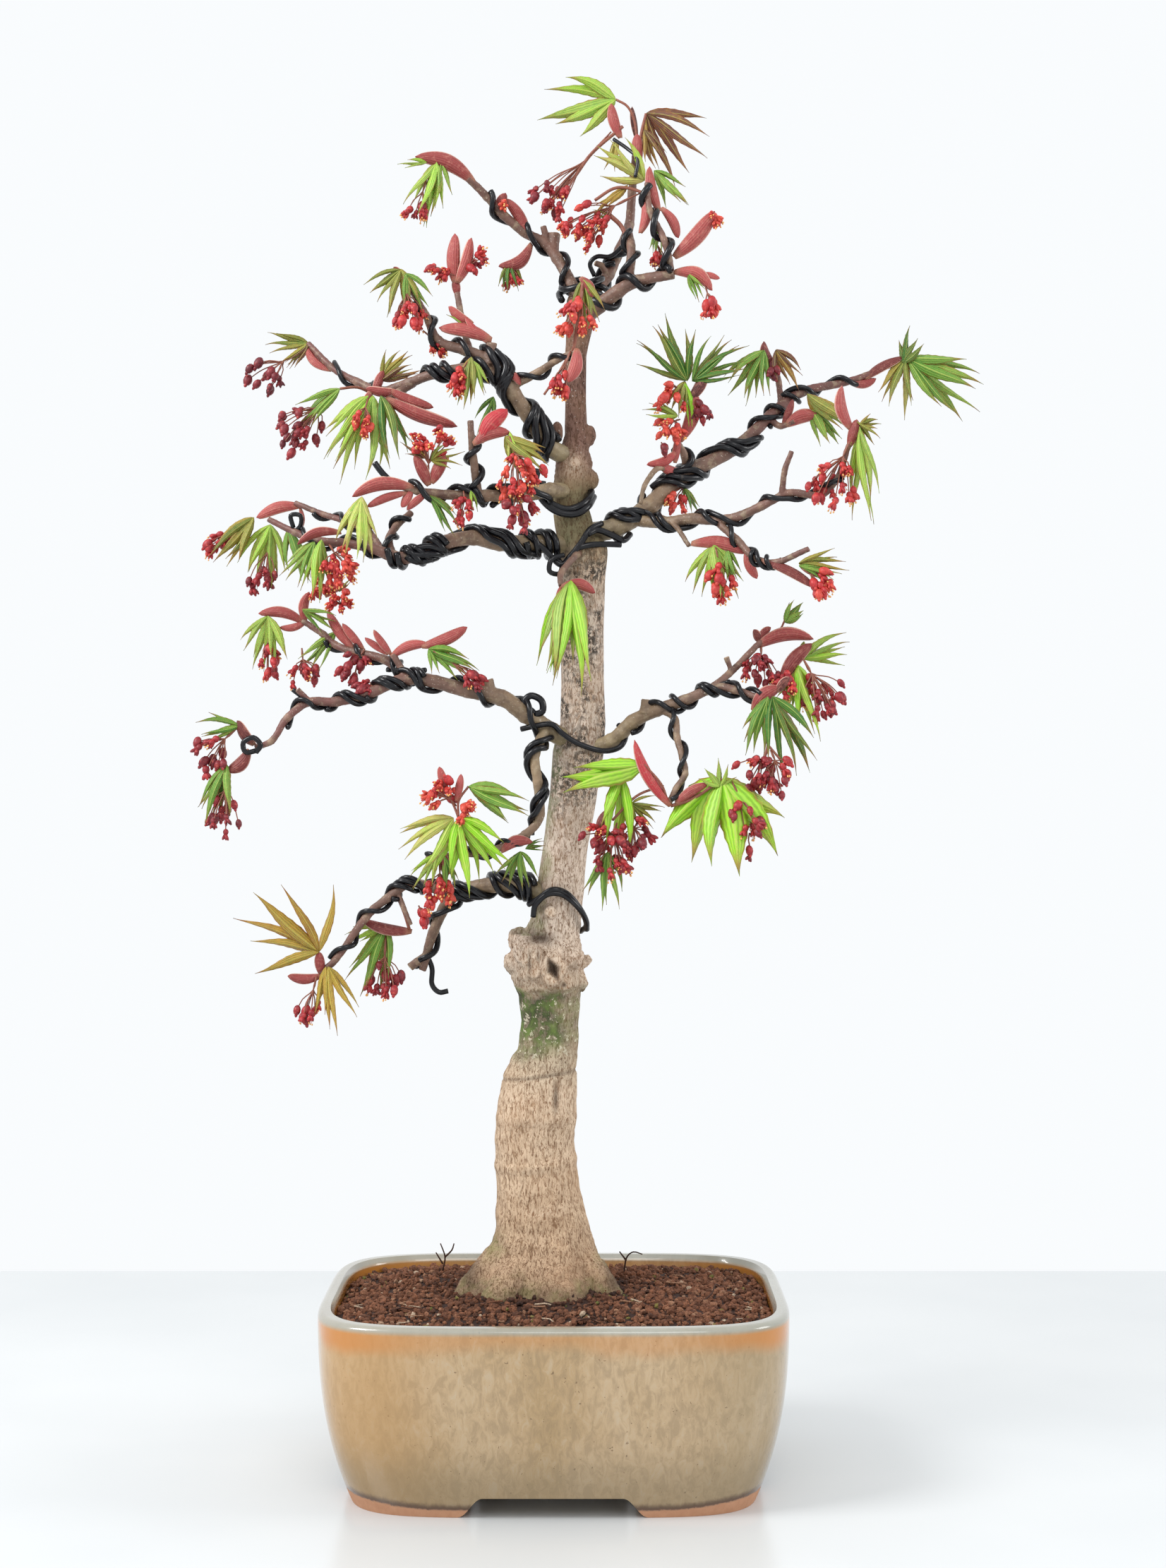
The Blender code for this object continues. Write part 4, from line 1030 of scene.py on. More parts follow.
def scaleMaterial():
    material, shader = newMaterial("budScale", Specular_IOR_Level=0.4, Subsurface_Weight=0.08, Subsurface_Scale=0.002)
    along, across, tint = toneOf(material)
    colour = ramp(tint, (0.0, (0.085, 0.025, 0.02)), (0.4, (0.28, 0.05, 0.045)), (0.7, (0.44, 0.095, 0.085)),
            (1.0, (0.5, 0.02, 0.035)))
    half = maths("ABSOLUTE", minus(across, 0.5))
    lines = grain(material, 420, 4, 0.6, (1, 1, 1), 1.2)
    striped = maths("SINE", plus(times(across, 46), times(lines, 5)))
    colour = mixed(ramp(plus(times(striped, 0.5), 0.5), (0.2, 0.4), (0.7, 0.0)), colour,
            mixed(1.0, colour, (0.55, 0.4, 0.4), "MULTIPLY"))
    colour = mixed(ramp(lines, (0.5, 0.0), (0.66, 0.4)), colour, (0.5, 0.2, 0.15))
    colour = mixed(times(band(along, 0.2, 0.0), 0.6), colour, (0.4, 0.22, 0.13))
    colour = mixed(band(half, 0.42, 0.49), colour, (0.66, 0.4, 0.32))
    plug(colour, shader, "Base Color")
    roughen(shader, striped, 0.2, 0.4, 0.38, 0.55)
    return material


def flowerMaterial():
    material, shader = newMaterial("mapleFlower", Specular_IOR_Level=0.45, Subsurface_Weight=0.08,
            Subsurface_Scale=0.001)
    kind, tint = toneOf(material)[1:]
    spots = grain(material, 700, 3, 0.6)
    head = ramp(tint, (0.0, (0.13, 0.012, 0.02)), (0.35, (0.28, 0.018, 0.026)), (0.7, (0.52, 0.03, 0.032)),
            (1.0, (0.7, 0.085, 0.05)))
    head = mixed(ramp(spots, (0.35, 0.55), (0.6, 0.0)), head, mixed(1.0, head, (0.4, 0.3, 0.35), "MULTIPLY"))
    head = mixed(ramp(spots, (0.58, 0.0), (0.72, 0.45)), head, (0.8, 0.16, 0.1))
    colour = mixed(band(kind, 0.05, 0.3), mixed(spots, (0.16, 0.035, 0.03), (0.34, 0.13, 0.07)), head)
    colour = mixed(band(kind, 0.7, 0.9), colour, (0.78, 0.4, 0.13))
    plug(colour, shader, "Base Color")
    roughen(shader, spots, 0.2, 0.4, 0.35, 0.6)
    return material


def addBlade(bm, tone, base, lean, depth, length, width, tint, bend, rng):
    steps, lanes = 15, (-1, -0.6, -0.25, 0, 0.25, 0.6, 1)
    peak = 0.36 ** 0.85 * 0.64 ** 1.5
    twist, swing = rng.uniform(-0.9, 0.9), rng.uniform(-0.5, 0.5)
    fold = rng.uniform(0.35, 0.95)
    middle, rows = base.copy(), []
    for k in range(steps + 1):
        t = k / steps
        turn = lean + bend * (t - 0.3) + 0.12 * math.sin(t * 5 + swing * 6)
        ahead = Vector((math.cos(turn), depth * (1 - 0.8 * t), math.sin(turn) - 0.22 * t * t)).normalized()
        across = Matrix.Rotation(twist * (0.35 + 0.65 * t), 3, ahead) @ ahead.cross(Vector((0, 1, 0))).normalized()
        facing = across.cross(ahead)
        wide = width / 2 * (t ** 0.85 * (1 - t) ** 1.5 / peak + 0.05 * (1 - t))
        row = []
        for lane in lanes:
            jagged = 1 + (0.05 * (1 if k % 2 else -1) if abs(lane) == 1 and 1 < k < steps - 2 else 0)  # a toothed edge
            lift = fold * abs(lane) + 0.1 * (abs(lane) == 0.6)
            vert = bm.verts.new(at(middle + across * wide * lane * jagged * (1 - 0.15 * fold) + facing * wide * lift))
            vert[tone] = (t, (lane + 1) / 2, tint, 1)
            row.append(vert)
        rows.append(row)
        middle = middle + ahead * length / steps
    openRows(bm, rows)


def addLeaf(bm, tone, rng, origin, aim, length, spread, lobes, tint, width=0.19):
    origin = Vector(origin)
    lean = math.atan2(aim[1], aim[0])
    lobes = lobes if lobes < 3 else round(lobes * 1.3)
    for i in range(lobes):
        share = i / (lobes - 1) - 0.5 if lobes > 1 else 0.0
        turn = lean + math.radians(spread) * share * 1.1 + math.radians(rng.uniform(-6, 6))
        reach = length * (1.06 - 0.6 * abs(share) ** 1.3) * rng.uniform(0.84, 1.07)
        shade = clamp(leafTints[tint] + rng.uniform(-0.08, 0.06))
        bend = -math.radians(spread) * share * rng.uniform(0.1, 0.6) + rng.uniform(-0.15, 0.15)
        depth = rng.uniform(-0.5, 0.3)
        wide = length * width * 0.78 * rng.uniform(0.7, 1.15) * (1 - 0.3 * abs(share))
        addBlade(bm, tone, origin + Vector((0, -0.15 * i, 0)), turn, depth, reach, wide, shade, bend, rng)


def addScale(bm, tone, rng, start, end, width, tint=0.55, bow=0.1):
    start, end = Vector(start), Vector(end)
    ahead = (end - start).normalized()
    length = (end - start).length
    across = ahead.cross(Vector((0, 1, 0))).normalized()
    lean = math.radians(rng.uniform(-50, 50))
    shade = clamp(tint + rng.uniform(-0.15, 0.1))
    rows = []
    for k in range(15):
        t = k / 14
        side = Matrix.Rotation(lean * (0.4 + 0.6 * t), 3, ahead) @ across
        facing = side.cross(ahead).normalized()
        wide = width * 0.57 * (t ** 0.9 * (1 - t) ** 0.6 * 2.0 + 0.26 * (1 - t))
        arc = length * math.sin(math.pi * t)
        middle = start + ahead * length * t + across * bow * arc - Vector((0, 1, 0)) * 0.05 * arc
        row = []
        for i in range(9):
            lane = i / 4 - 1
            crease = 0.06 * wide * math.cos(lane * 11)
            lift = wide * 0.6 * (lane * lane - 0.4) + crease
            vert = bm.verts.new(at(middle + side * wide * lane * (1 - 0.12 * abs(lane)) + facing * lift))
            vert[tone] = (t, (lane + 1) / 2, shade, 1)
            row.append(vert)
        rows.append(row)
    openRows(bm, rows)


def addHead(bm, tone, rng, place, hang, size, tint):
    side = hang.orthogonal().normalized()
    other = hang.cross(side).normalized()
    if rng.random() < (0.75 if tint < 0.35 else 0.35):  # a closed bud, pointed at its mouth
        addBall(bm, tone, place, hang, 4.6 * size, 3.4 * size, (0, 0.5, tint), 9, 6, 0.07)
        addBall(bm, tone, place + hang * 2.1 * size, hang, 2.2 * size, 1.5 * size, (0, 0.5, min(1.0, tint + 0.12)), 6,
                4)
        return
    addBall(bm, tone, place - hang * 0.8 * size, hang, 3.0 * size, 2.6 * size, (0, 0.5, tint), 8, 5)
    for i in range(5):  # an open one: parted petals round its stamens
        turn = 2 * math.pi * (i + rng.uniform(-0.25, 0.25)) / 5
        out = side * math.cos(turn) + other * math.sin(turn)
        axis = (hang + out * rng.uniform(0.35, 0.9)).normalized()
        length, width = rng.uniform(3.0, 4.0) * size, rng.uniform(1.3, 1.9) * size
        addBall(bm, tone, place + axis * 1.5 * size, axis, length, width,
                (0, 0.5, clamp(tint + rng.uniform(-0.1, 0.2))), 6, 4)
    if tint > 0.4:
        for i in range(3):
            turn = rng.uniform(0, 6.3)
            down = hang * rng.uniform(3.0, 4.2) * size
            tip = place + down + (side * math.cos(turn) + other * math.sin(turn)) * rng.uniform(0.5, 1.4) * size
            addTube(bm, tone, [place, place.lerp(tip, 0.5), tip], [0.14, 0.12, 0.1], 3, (0, 0.5, 0.9))
            addBall(bm, tone, tip, hang, 0.9 * size, 0.8 * size, (0, 1.0, 1.0), 5, 3)


def addFlowers(bm, tone, rng, origin, centre, radius, count, tint=0.5):
    origin, centre = Vector(origin), Vector(centre)
    fork = origin.lerp(centre, 0.45)
    for i in range(round(count * 1.25)):
        while True:
            offset = Vector((rng.uniform(-1, 1), rng.uniform(-1, 1), rng.uniform(-1, 1)))
            if 0.25 < offset.length < 1:
                break
        place = centre + Vector((offset.x, offset.y * 0.7, offset.z)) * radius
        knee = fork.lerp(place, 0.55) + Vector((offset.x * 0.8, 0, 1.0))
        route = smoothRoute([origin, fork + Vector((0, 0, 0.6)), knee, place], 2.2)
        addTube(bm, tone, route, [0.34 - 0.12 * k / len(route) for k in range(len(route))], 5, (0, 0, tint))
        loose = Vector((rng.uniform(-1, 1), rng.uniform(-1, 0.4), rng.uniform(-1, 0.4)))
        hang = ((place - fork).normalized() * 0.8 + Vector((0, -0.1, -0.5)) + loose * 0.6).normalized()
        addHead(bm, tone, rng, place, hang, rng.uniform(0.82, 1.24), clamp(tint + rng.uniform(-0.2, 0.2)))


# each shoot: leaf (origin, aim in x and z, length, spread, lobes, tint, width), scale (from, to, width, redness, bow),
# flowers (origin, centre, radius, count, redness), stalks (radius, places)
shoots = {
    "crown_top_left": dict(
        leaf=[((26, 4, 584), (-1, -0.13), 31, 58, 4, "lime", 0.25)],
        stalks=[(0.55, [(35, 5, 566), (34, 5, 575), (31, 4, 581), (26, 4, 584)])]),
    "crown_top_right": dict(
        leaf=[((39, 4, 578), (0.77, -0.62), 34, 78, 5, "bronze", 0.17),
            ((38, 4, 571), (0.5, -0.9), 20, 40, 3, "bronze")],
        scale=[((28, 2, 567), (24, 3, 582), 5.5, 0.5, 0.05), ((36, 3, 557), (35, 3, 569), 5.5, 0.6, 0.03),
            ((35, 8, 568), (33, 8, 582), 3.4, 0.1, 0)],
        stalks=[(0.7, [(36, 5, 560), (37, 5, 570), (39, 4, 578)])]),
    "crown_pale": dict(
        leaf=[((38, -5, 547), (-0.78, 0.63), 25, 46, 4, "pale", 0.22),
            ((31, -2, 546), (-0.77, -0.64), 21, 22, 3, "ochre"), ((26, 3, 567), (-0.2, -1), 20, 16, 2, "olive"),
            ((42, -6, 551), (0.68, -0.73), 22, 34, 4, "green"), ((24, -4, 532), (-1, 0.1), 8, 60, 3, "lime")],
        scale=[((44, -10, 533), (40, -9, 552), 6, 0.65, 0.04), ((36, -13, 523), (38, -12, 538), 5, 0.75, -0.1),
            ((45, -12, 534), (52, -13, 521), 5, 0.6, 0.1)],
        flowers=[((24, 3, 570), (-1, 2, 541), 9.5, 13, 0.3), ((36, -4, 542), (13, -5, 529), 10.5, 16, 0.7),
            ((42, -8, 524), (45, -9, 512), 5, 5, 0.75)],
        stalks=[(0.75, [(29, 2, 572), (16, 3, 561), (8, 2, 550), (2, 2, 545)]),
            (0.7, [(39, -6, 541), (32, -4, 544), (25, -4, 544), (17, -4, 539)]),
            (1.0, [(31, -8, 521), (28, -5, 528), (23, -4, 533)])]),
    "crown_drop": dict(
        leaf=[((44, -10, 525), (-0.25, -1), 13, 40, 3, "green")]),
    "crown_right_tip": dict(
        leaf=[((56, -18, 505), (0.5, -0.85), 13, 34, 3, "green")],
        scale=[((50, -17, 512), (67, -18, 531), 8, 0.55, -0.05), ((50, -17, 506), (66, -18, 498), 7, 0.6, 0.16),
            ((62, -18, 505), (69, -18, 503), 3.5, 0.7, 0.05)],
        flowers=[((63, -18, 500), (65, -18, 492), 4.6, 5, 0.7), ((63, -18, 525), (67, -18, 528.5), 2.2, 3, 0.75)]),
    "crown_left_tip": dict(
        leaf=[((-50, -4, 555), (-0.28, -1), 26, 46, 6, "lime"), ((-54, -4, 555), (-1, 0.0), 12, 14, 3, "lime"),
            ((-48, -4, 555), (0.15, -1), 20, 20, 2, "green")],
        scale=[((-34, -2, 547), (-59, -4, 557.5), 8, 0.5, -0.12)],
        flowers=[((-54, -4, 549), (-58, -4, 534), 4.5, 5, 0.5)]),
    "crown_left_buds": dict(
        leaf=[((-19, 6, 515), (0, -1), 15, 60, 4, "dark")],
        scale=[((-11, 6, 526), (-21, 5, 542), 5.5, 0.6, -0.05), ((-24, 3, 536), (-21, 4, 544), 5, 0.45, 0.05),
            ((-10, 6, 523), (-24, 5, 513), 6.5, 0.4, 0.2)],
        flowers=[((-18, 6, 514), (-19, 5, 508), 4, 5, 0.6), ((-22, 3, 538), (-21.5, 2, 540), 1.2, 2, 0.95)]),
    "left_high_up": dict(
        scale=[((-42, -8, 503), (-42, -8, 524), 7, 0.6, 0.05), ((-41, -9, 503), (-35, -9, 522), 6.5, 0.65, -0.08),
            ((-41, -7, 498), (-42, -8, 505), 4, 0.5, 0)],
        flowers=[((-42, -9, 506), (-49, -9, 508), 4.4, 5, 0.6), ((-40, -9, 506), (-34, -9, 512), 5, 6, 0.45)]),
    "left_high_tip": dict(
        leaf=[((-64, -17, 507), (-0.3, -1), 21, 90, 6, "olive"), ((-62, -18, 505), (0.45, -1), 20, 50, 4, "green")],
        scale=[((-61, -13, 502), (-67, -17, 508), 5, 0.2, 0.1)],
        flowers=[((-63, -18, 504), (-60, -20, 487), 8, 12, 0.6), ((-55, -14, 482), (-49, -15, 475), 2.4, 3, 0.8)]),
    "left_high_scales": dict(
        leaf=[((-38, -19, 483), (-0.6, 0.75), 10, 30, 2, "lime")],
        scale=[((-26, -20, 477), (-48, -20, 482), 7.5, 0.6, -0.08), ((-34, -18, 484), (-44, -19, 491), 5, 0.65, 0.1),
            ((-28, -20, 476), (-37, -20, 486), 4, 0.7, 0)]),
    "left_high_far": dict(
        leaf=[((-107, 20, 483), (-1, -0.15), 19, 66, 5, "olive"),
            ((-107, 19, 482), (-0.7, -0.75), 15, 30, 3, "bronze")],
        scale=[((-96, 13, 470), (-108, 20, 482), 5, 0.55, 0.12)],
        flowers=[((-110, 19, 480), (-127, 20, 468), 7.5, 10, 0.18)]),
    "left_over_trunk": dict(
        leaf=[((12, -34, 499), (0.05, -1), 21, 60, 5, "olive")],
        scale=[((9.6, -33, 471), (6, -34, 457), 6.5, 0.65, 0.1), ((11, -34, 500), (16, -34, 492), 5, 0.35, 0.1)],
        flowers=[((12, -34, 496), (11, -35, 483), 8, 13, 0.8), ((7, -33, 470), (2, -34, 456), 5, 7, 0.75)],
        stalks=[(0.8, [(8, -32, 470), (10, -33, 482), (12, -34, 498)]),
            (0.5, [(7, -32, 470), (2, -33, 461), (-4, -33, 452)])]),
    "left_high_inner": dict(
        leaf=[((-73, -8, 463), (0.6, 0.7), 17, 60, 4, "olive"), ((-73, -9, 462), (0.95, 0.25), 18, 20, 3, "bronze")],
        scale=[((-76, -10, 456), (-72, -9, 466), 4.5, 0.55, 0)]),
    "left_high_drop": dict(
        leaf=[((-90, -12, 458), (-0.75, -0.65), 24, 34, 5, "green")],
        flowers=[((-92, -12, 457), (-107, -13, 440), 11.5, 18, 0.2)],
        stalks=[(0.6, [(-77, -4, 457), (-83, -9, 459), (-90, -12, 458)])]),
    "left_high_umbrella": dict(
        leaf=[((-75, -24, 453), (-0.35, -1), 36, 66, 7, "lime", 0.16),
            ((-72, -24, 453), (0.35, -1), 30, 30, 4, "dark"), ((-77, -25, 453), (-0.6, -0.9), 32, 20, 3, "lime")],
        scale=[((-70, -23, 452), (-40, -26, 440), 7.5, 0.5, -0.06),
            ((-69, -23, 456), (-50, -25, 448), 5, 0.55, -0.05), ((-76, -24, 455), (-84, -25, 444), 5, 0.45, 0.1),
            ((-66, -23, 455), (-78, -24, 456), 5, 0.55, 0.1)],
        flowers=[((-77, -25, 452), (-79, -31, 441), 4.5, 6, 0.85)]),
    "left_high_small": dict(
        leaf=[((-34, -30, 468), (-0.3, -1), 21, 50, 5, "olive"), ((-33, -31, 466), (0.3, -1), 14, 40, 4, "lime"),
            ((-25, -28, 452), (-0.35, -1), 17, 36, 3, "dark")],
        scale=[((-22, -20, 463), (-14, -22, 458), 4, 0.6, 0.2)],
        flowers=[((-35, -29, 467), (-40, -32, 458), 5, 6, 0.75)]),
    "left_front_twig": dict(
        leaf=[((-20, -38, 434), (0.75, -0.66), 23, 56, 5, "olive", 0.22),
            ((-18, -38, 436), (0.2, -1), 18, 30, 3, "pale")],
        scale=[((-30, -38, 432), (-19, -39, 445), 8.5, 0.95, 0.1), ((-33, -38, 431), (-18, -38, 436), 6, 0.65, 0.12)],
        flowers=[((-18, -39, 434), (-13, -41, 417), 9.5, 17, 0.8)]),
    "left_front_buds": dict(
        leaf=[((-50, -40, 424), (0.6, 0.2), 13, 70, 4, "olive"), ((-52, -39, 425), (-0.8, 0.7), 12, 40, 3, "bronze")],
        scale=[((-51, -38, 414), (-57, -39, 426), 6.5, 0.5, 0), ((-50, -38, 415), (-44, -39, 426), 6, 0.6, 0)],
        flowers=[((-52, -38, 415), (-50, -40, 431), 8.5, 11, 0.65)]),
    "left_front_under": dict(
        leaf=[((-34, -37, 412), (0.3, -1), 9, 40, 3, "lime")],
        flowers=[((-15, -38, 416), (-15, -42, 403), 8.5, 12, 0.25), ((-37, -36, 412), (-36, -38, 404), 5, 6, 0.55)]),
    "left_mid_far": dict(
        leaf=[((-130, 16, 407), (-0.7, -0.72), 27, 44, 6, "olive"), ((-123, 16, 404), (-0.2, -1), 27, 50, 7, "lime"),
            ((-115, 13, 402), (0.35, -0.94), 24, 26, 4, "green")],
        scale=[((-110, 15, 412), (-129, 16, 407), 6.5, 0.6, -0.1), ((-110, 15, 411), (-111, 15, 400), 3.4, 0.6, 0.1)],
        flowers=[((-133, 16, 403), (-146, 16, 396), 5.5, 7, 0.5), ((-123, 15, 401), (-125, 14, 381), 7.5, 9, 0.25)]),
    "left_mid_under": dict(
        leaf=[((-99, -28, 392), (-0.45, -0.9), 22, 60, 5, "green"), ((-96, -28, 393), (-0.1, -1), 28, 26, 4, "lime")],
        scale=[((-88, -27, 396), (-106, -28, 391), 5, 0.5, -0.12)],
        flowers=[((-93, -27, 391), (-88, -29, 382), 7.5, 14, 0.8)]),
    "left_front_tip": dict(
        leaf=[((-78, -42, 409), (-0.1, -1), 27, 40, 7, "pale"), ((-79, -42, 408), (-0.3, -1), 20, 30, 4, "lime")],
        scale=[((-57, -39, 413), (-82, -42, 409), 7, 0.6, -0.12), ((-60, -39, 411), (-76, -41, 405), 4, 0.55, -0.05)]),
    "left_front_leaf": dict(
        leaf=[((-51, -38, 410), (0.62, -0.78), 18, 26, 4, "dark")],
        scale=[((-58, -38, 413), (-62, -39, 405), 4.5, 0.6, 0), ((-52, -38, 411), (-60, -38, 404), 4, 0.6, 0)]),
    "left_low_upper": dict(
        leaf=[((-123, 8, 364), (-0.1, -1), 23, 70, 7, "lime"), ((-107, -2, 366), (0.9, -0.42), 18, 36, 4, "green"),
            ((-93, 4, 357), (-0.72, -0.68), 23, 28, 4, "green")],
        scale=[((-107, 7, 361), (-127, 8, 365), 5.5, 0.55, -0.12), ((-107, 7, 361), (-105, 5, 374), 5, 0.65, 0.1),
            ((-106, 7, 362), (-118, 8, 359), 4, 0.5, 0.1)],
        flowers=[((-123, 8, 360), (-122, 7, 345), 6.5, 9, 0.5), ((-108, 4, 350), (-107, 3, 338), 6.5, 8, 0.35),
            ((-105, 5, 372), (-100, 4, 376), 4.5, 6, 0.85)]),
    "left_low_middle": dict(
        leaf=[((-92, 4, 374), (0.4, 1), 9, 50, 3, "olive")],
        scale=[((-85, -3, 349), (-97, 3, 366), 5, 0.6, 0.05), ((-81, -4, 349), (-90, -2, 360), 4, 0.55, 0),
            ((-98, 3, 372), (-89, 4, 377), 5, 0.6, 0.1)],
        flowers=[((-91, 0, 366), (-90, -3, 369), 5, 7, 0.75), ((-80, -8, 349), (-84, -10, 341), 7, 11, 0.3)]),
    "left_low_buds": dict(
        scale=[((-68, -21, 346), (-75, -22, 356), 4, 0.7, 0), ((-69, -20, 346), (-79, -18, 353), 3.6, 0.65, 0)],
        flowers=[((-72, -22, 334), (-79, -24, 330), 5, 6, 0.3)]),
    "left_low_inner": dict(
        leaf=[((-52, -25, 348), (0.85, -0.4), 23, 40, 4, "green", 0.22),
            ((-52, -25, 348), (0.3, -1), 14, 20, 2, "green")],
        scale=[((-68, -21, 345), (-52, -24, 350), 5, 0.65, 0.1), ((-55, -24, 349), (-36, -25, 357), 6, 0.6, -0.05)],
        flowers=[((-50, -26, 347), (-33, -27, 335), 4.5, 6, 0.4)]),
    "left_low_tip": dict(
        leaf=[((-129, -34, 316), (-1, -0.1), 18, 46, 4, "green"), ((-134, -35, 300), (-0.3, -1), 25, 48, 7, "green")],
        scale=[((-123, -34, 308), (-130, -34, 318), 6, 0.25, 0.1),
            ((-125, -34, 306), (-134, -35, 297), 6.5, 0.35, 0.12)],
        flowers=[((-130, -34, 315), (-141, -34, 304), 8, 10, 0.25), ((-134, -35, 298), (-136, -36, 278), 8, 11, 0.2)]),
    "right_high_upright": dict(
        leaf=[((56, -7, 462), (-0.5, 0.9), 30, 76, 6, "dark", 0.16),
            ((58, -7, 462), (0.85, 0.6), 26, 56, 6, "dark", 0.16), ((55, -7, 462), (-0.3, -1), 16, 40, 3, "olive"),
            ((52, -8, 447), (-0.9, 0.25), 14, 50, 4, "lime"), ((55, -8, 461), (0.1, -1), 22, 14, 2, "bright")],
        scale=[((53, -3, 437), (59, -6, 459), 7, 0.65, -0.1), ((57, -6, 454), (64, -7, 466), 5.5, 0.15, -0.05),
            ((52, -4, 433), (39, -5, 427), 5, 0.75, 0.15), ((51, -3, 428), (53, -4, 440), 4.5, 0.7, 0)],
        flowers=[((55, -6, 460), (50, -8, 456), 6.5, 8, 0.85), ((53, -6, 446), (48, -8, 443), 6, 8, 0.9),
            ((58, -6, 458), (62, -7, 449), 5, 6, 0.15), ((45, -8, 436), (46, -9, 433), 1.5, 2, 0.3)]),
    "right_high_twig": dict(
        leaf=[((90, 15, 479), (-0.5, -0.95), 25, 66, 7, "green", 0.2),
            ((95, 14, 479), (0.55, -0.85), 18, 46, 4, "bronze")],
        scale=[((95, 20, 473), (90, 16, 483), 6.5, 0.25, 0.1), ((95, 19, 470), (96, 18, 480), 4, 0.3, 0)],
        flowers=[((95, 17, 476), (95, 14, 471), 3.5, 5, 0.2)]),
    "right_high_tip": dict(
        leaf=[((154, 30, 478), (0.86, -0.45), 37, 54, 6, "green", 0.2),
            ((153, 30, 478), (-0.2, -1), 26, 50, 5, "olive"), ((152, 29, 476), (0.25, 1), 15, 50, 4, "dark", 0.3)],
        scale=[((135, 27, 469), (152, 30, 479), 5.5, 0.2, 0.05), ((128, 26, 467), (140, 28, 469), 5, 0.4, -0.1)]),
    "right_high_inner": dict(
        leaf=[((108, 8, 459), (0.75, -0.65), 24, 26, 4, "olive", 0.24),
            ((110, 8, 452), (0.65, -0.8), 20, 50, 4, "green", 0.26)],
        scale=[((99, 10, 446), (113, 8, 450), 7, 0.55, 0.1), ((98, 11, 446), (102, 10, 457), 4, 0.4, 0)]),
    "right_mid_tip": dict(
        leaf=[((125, -38, 438), (0.1, -1), 40, 18, 5, "lime", 0.11),
            ((124, -38, 440), (0.35, -0.9), 14, 60, 4, "olive"),
            ((125, -38, 439), (0.9, 0.2), 9, 50, 3, "olive", 0.3)],
        scale=[((122, -37, 437), (118, -37, 455), 7.5, 0.55, 0.1), ((121, -37, 430), (124, -38, 441), 5, 0.3, 0)],
        flowers=[((122, -37, 434), (114, -39, 415), 10.5, 15, 0.55)]),
    "right_mid_inner": dict(
        leaf=[((66, -24, 391), (0.1, -1), 25, 84, 7, "lime", 0.21), ((72, -24, 390), (0.1, -1), 16, 50, 4, "green")],
        scale=[((57, -22, 392), (80, -25, 388), 7, 0.6, 0.1), ((80, -25, 390), (84, -26, 377), 5, 0.55, -0.1)],
        flowers=[((67, -25, 390), (69, -27, 376), 6.5, 10, 0.85)]),
    "right_high_small": dict(
        leaf=[((55, 2, 418), (0.4, -0.85), 13, 30, 3, "dark")],
        scale=[((56, 5, 425), (44, -4, 428), 5, 0.75, 0.1)],
        flowers=[((57, 5, 424), (53, 2, 412), 5, 6, 0.8)]),
    "right_mid_far": dict(
        leaf=[((100, -40, 382), (1, 0.02), 19, 44, 5, "olive"), ((100, -41, 381), (0.9, -0.35), 16, 20, 3, "green")],
        scale=[((85, -34, 384), (107, -41, 372), 5, 0.25, 0.05)],
        flowers=[((101, -41, 380), (109, -42, 373), 6.5, 10, 0.75)]),
    "right_low_upper": dict(
        leaf=[((97, -9, 360), (0.6, 0.8), 11, 46, 4, "green", 0.4),
            ((104, -10, 345), (0.92, 0.38), 22, 40, 5, "lime"), ((105, -10, 352), (-0.2, -1), 9, 40, 3, "olive")],
        scale=[((85, -9, 350), (109, -10, 353), 8, 0.55, 0.12), ((95, -12, 334), (108, -12, 351), 7, 0.2, 0.08),
            ((86, -9, 352), (84, -9, 357), 4.5, 0.3, 0), ((86, -9, 353), (91, -9, 358), 4.5, 0.2, 0)],
        flowers=[((87, -9, 351), (87, -12, 339), 8.5, 11, 0.3)],
        stalks=[(0.45, [(91, -9, 353), (95, -9, 357), (97, -9, 361)])]),
    "right_low_tip": dict(
        leaf=[((102, -12, 342), (0.2, -1), 32, 30, 4, "bright"), ((101, -13, 338), (-0.3, -1), 16, 40, 3, "lime")],
        flowers=[((104, -14, 345), (112, -15, 329), 11, 16, 0.4), ((97, -13, 338), (95, -16, 333), 7, 9, 0.5)]),
    "right_low_drop": dict(
        leaf=[((90, -32, 328), (0.35, -1), 36, 44, 5, "dark", 0.16),
            ((88, -32, 328), (-0.35, -1), 25, 44, 5, "green")],
        scale=[((82, -30, 322), (93, -31, 332), 7.5, 0.4, 0.1), ((92, -31, 330), (97, -31, 336), 5, 0.2, 0)],
        flowers=[((88, -34, 306), (83, -36, 296), 10, 13, 0.35), ((89, -34, 306), (93, -36, 295), 9, 11, 0.35)],
        stalks=[(0.65, [(87, -33, 319), (88, -34, 308), (84, -35, 298)]), (0.5, [(88, -34, 308), (93, -35, 302)])]),
    "right_hanging_fan": dict(
        leaf=[((69, -36, 294), (0.1, -1), 43, 100, 5, "bright", 0.4),
            ((68, -37, 291), (-0.1, 1), 11, 120, 4, "lime", 0.3)],
        scale=[((50, -35, 284), (63, -36, 292), 5, 0.65, 0.05)],
        flowers=[((73, -37, 293), (80, -40, 276), 9, 11, 0.35), ((80, -39, 272), (79, -41, 264), 3, 2, 0.4)],
        stalks=[(0.75, [(48, -34, 283), (57, -35, 286), (69, -36, 294)])]),
    "right_hanging_bright": dict(
        leaf=[((37, -38, 300), (-1, -0.14), 41, 20, 2, "bright", 0.36),
            ((37, -38, 300), (-1, -0.12), 34, 0, 1, "bright", 0.42)],
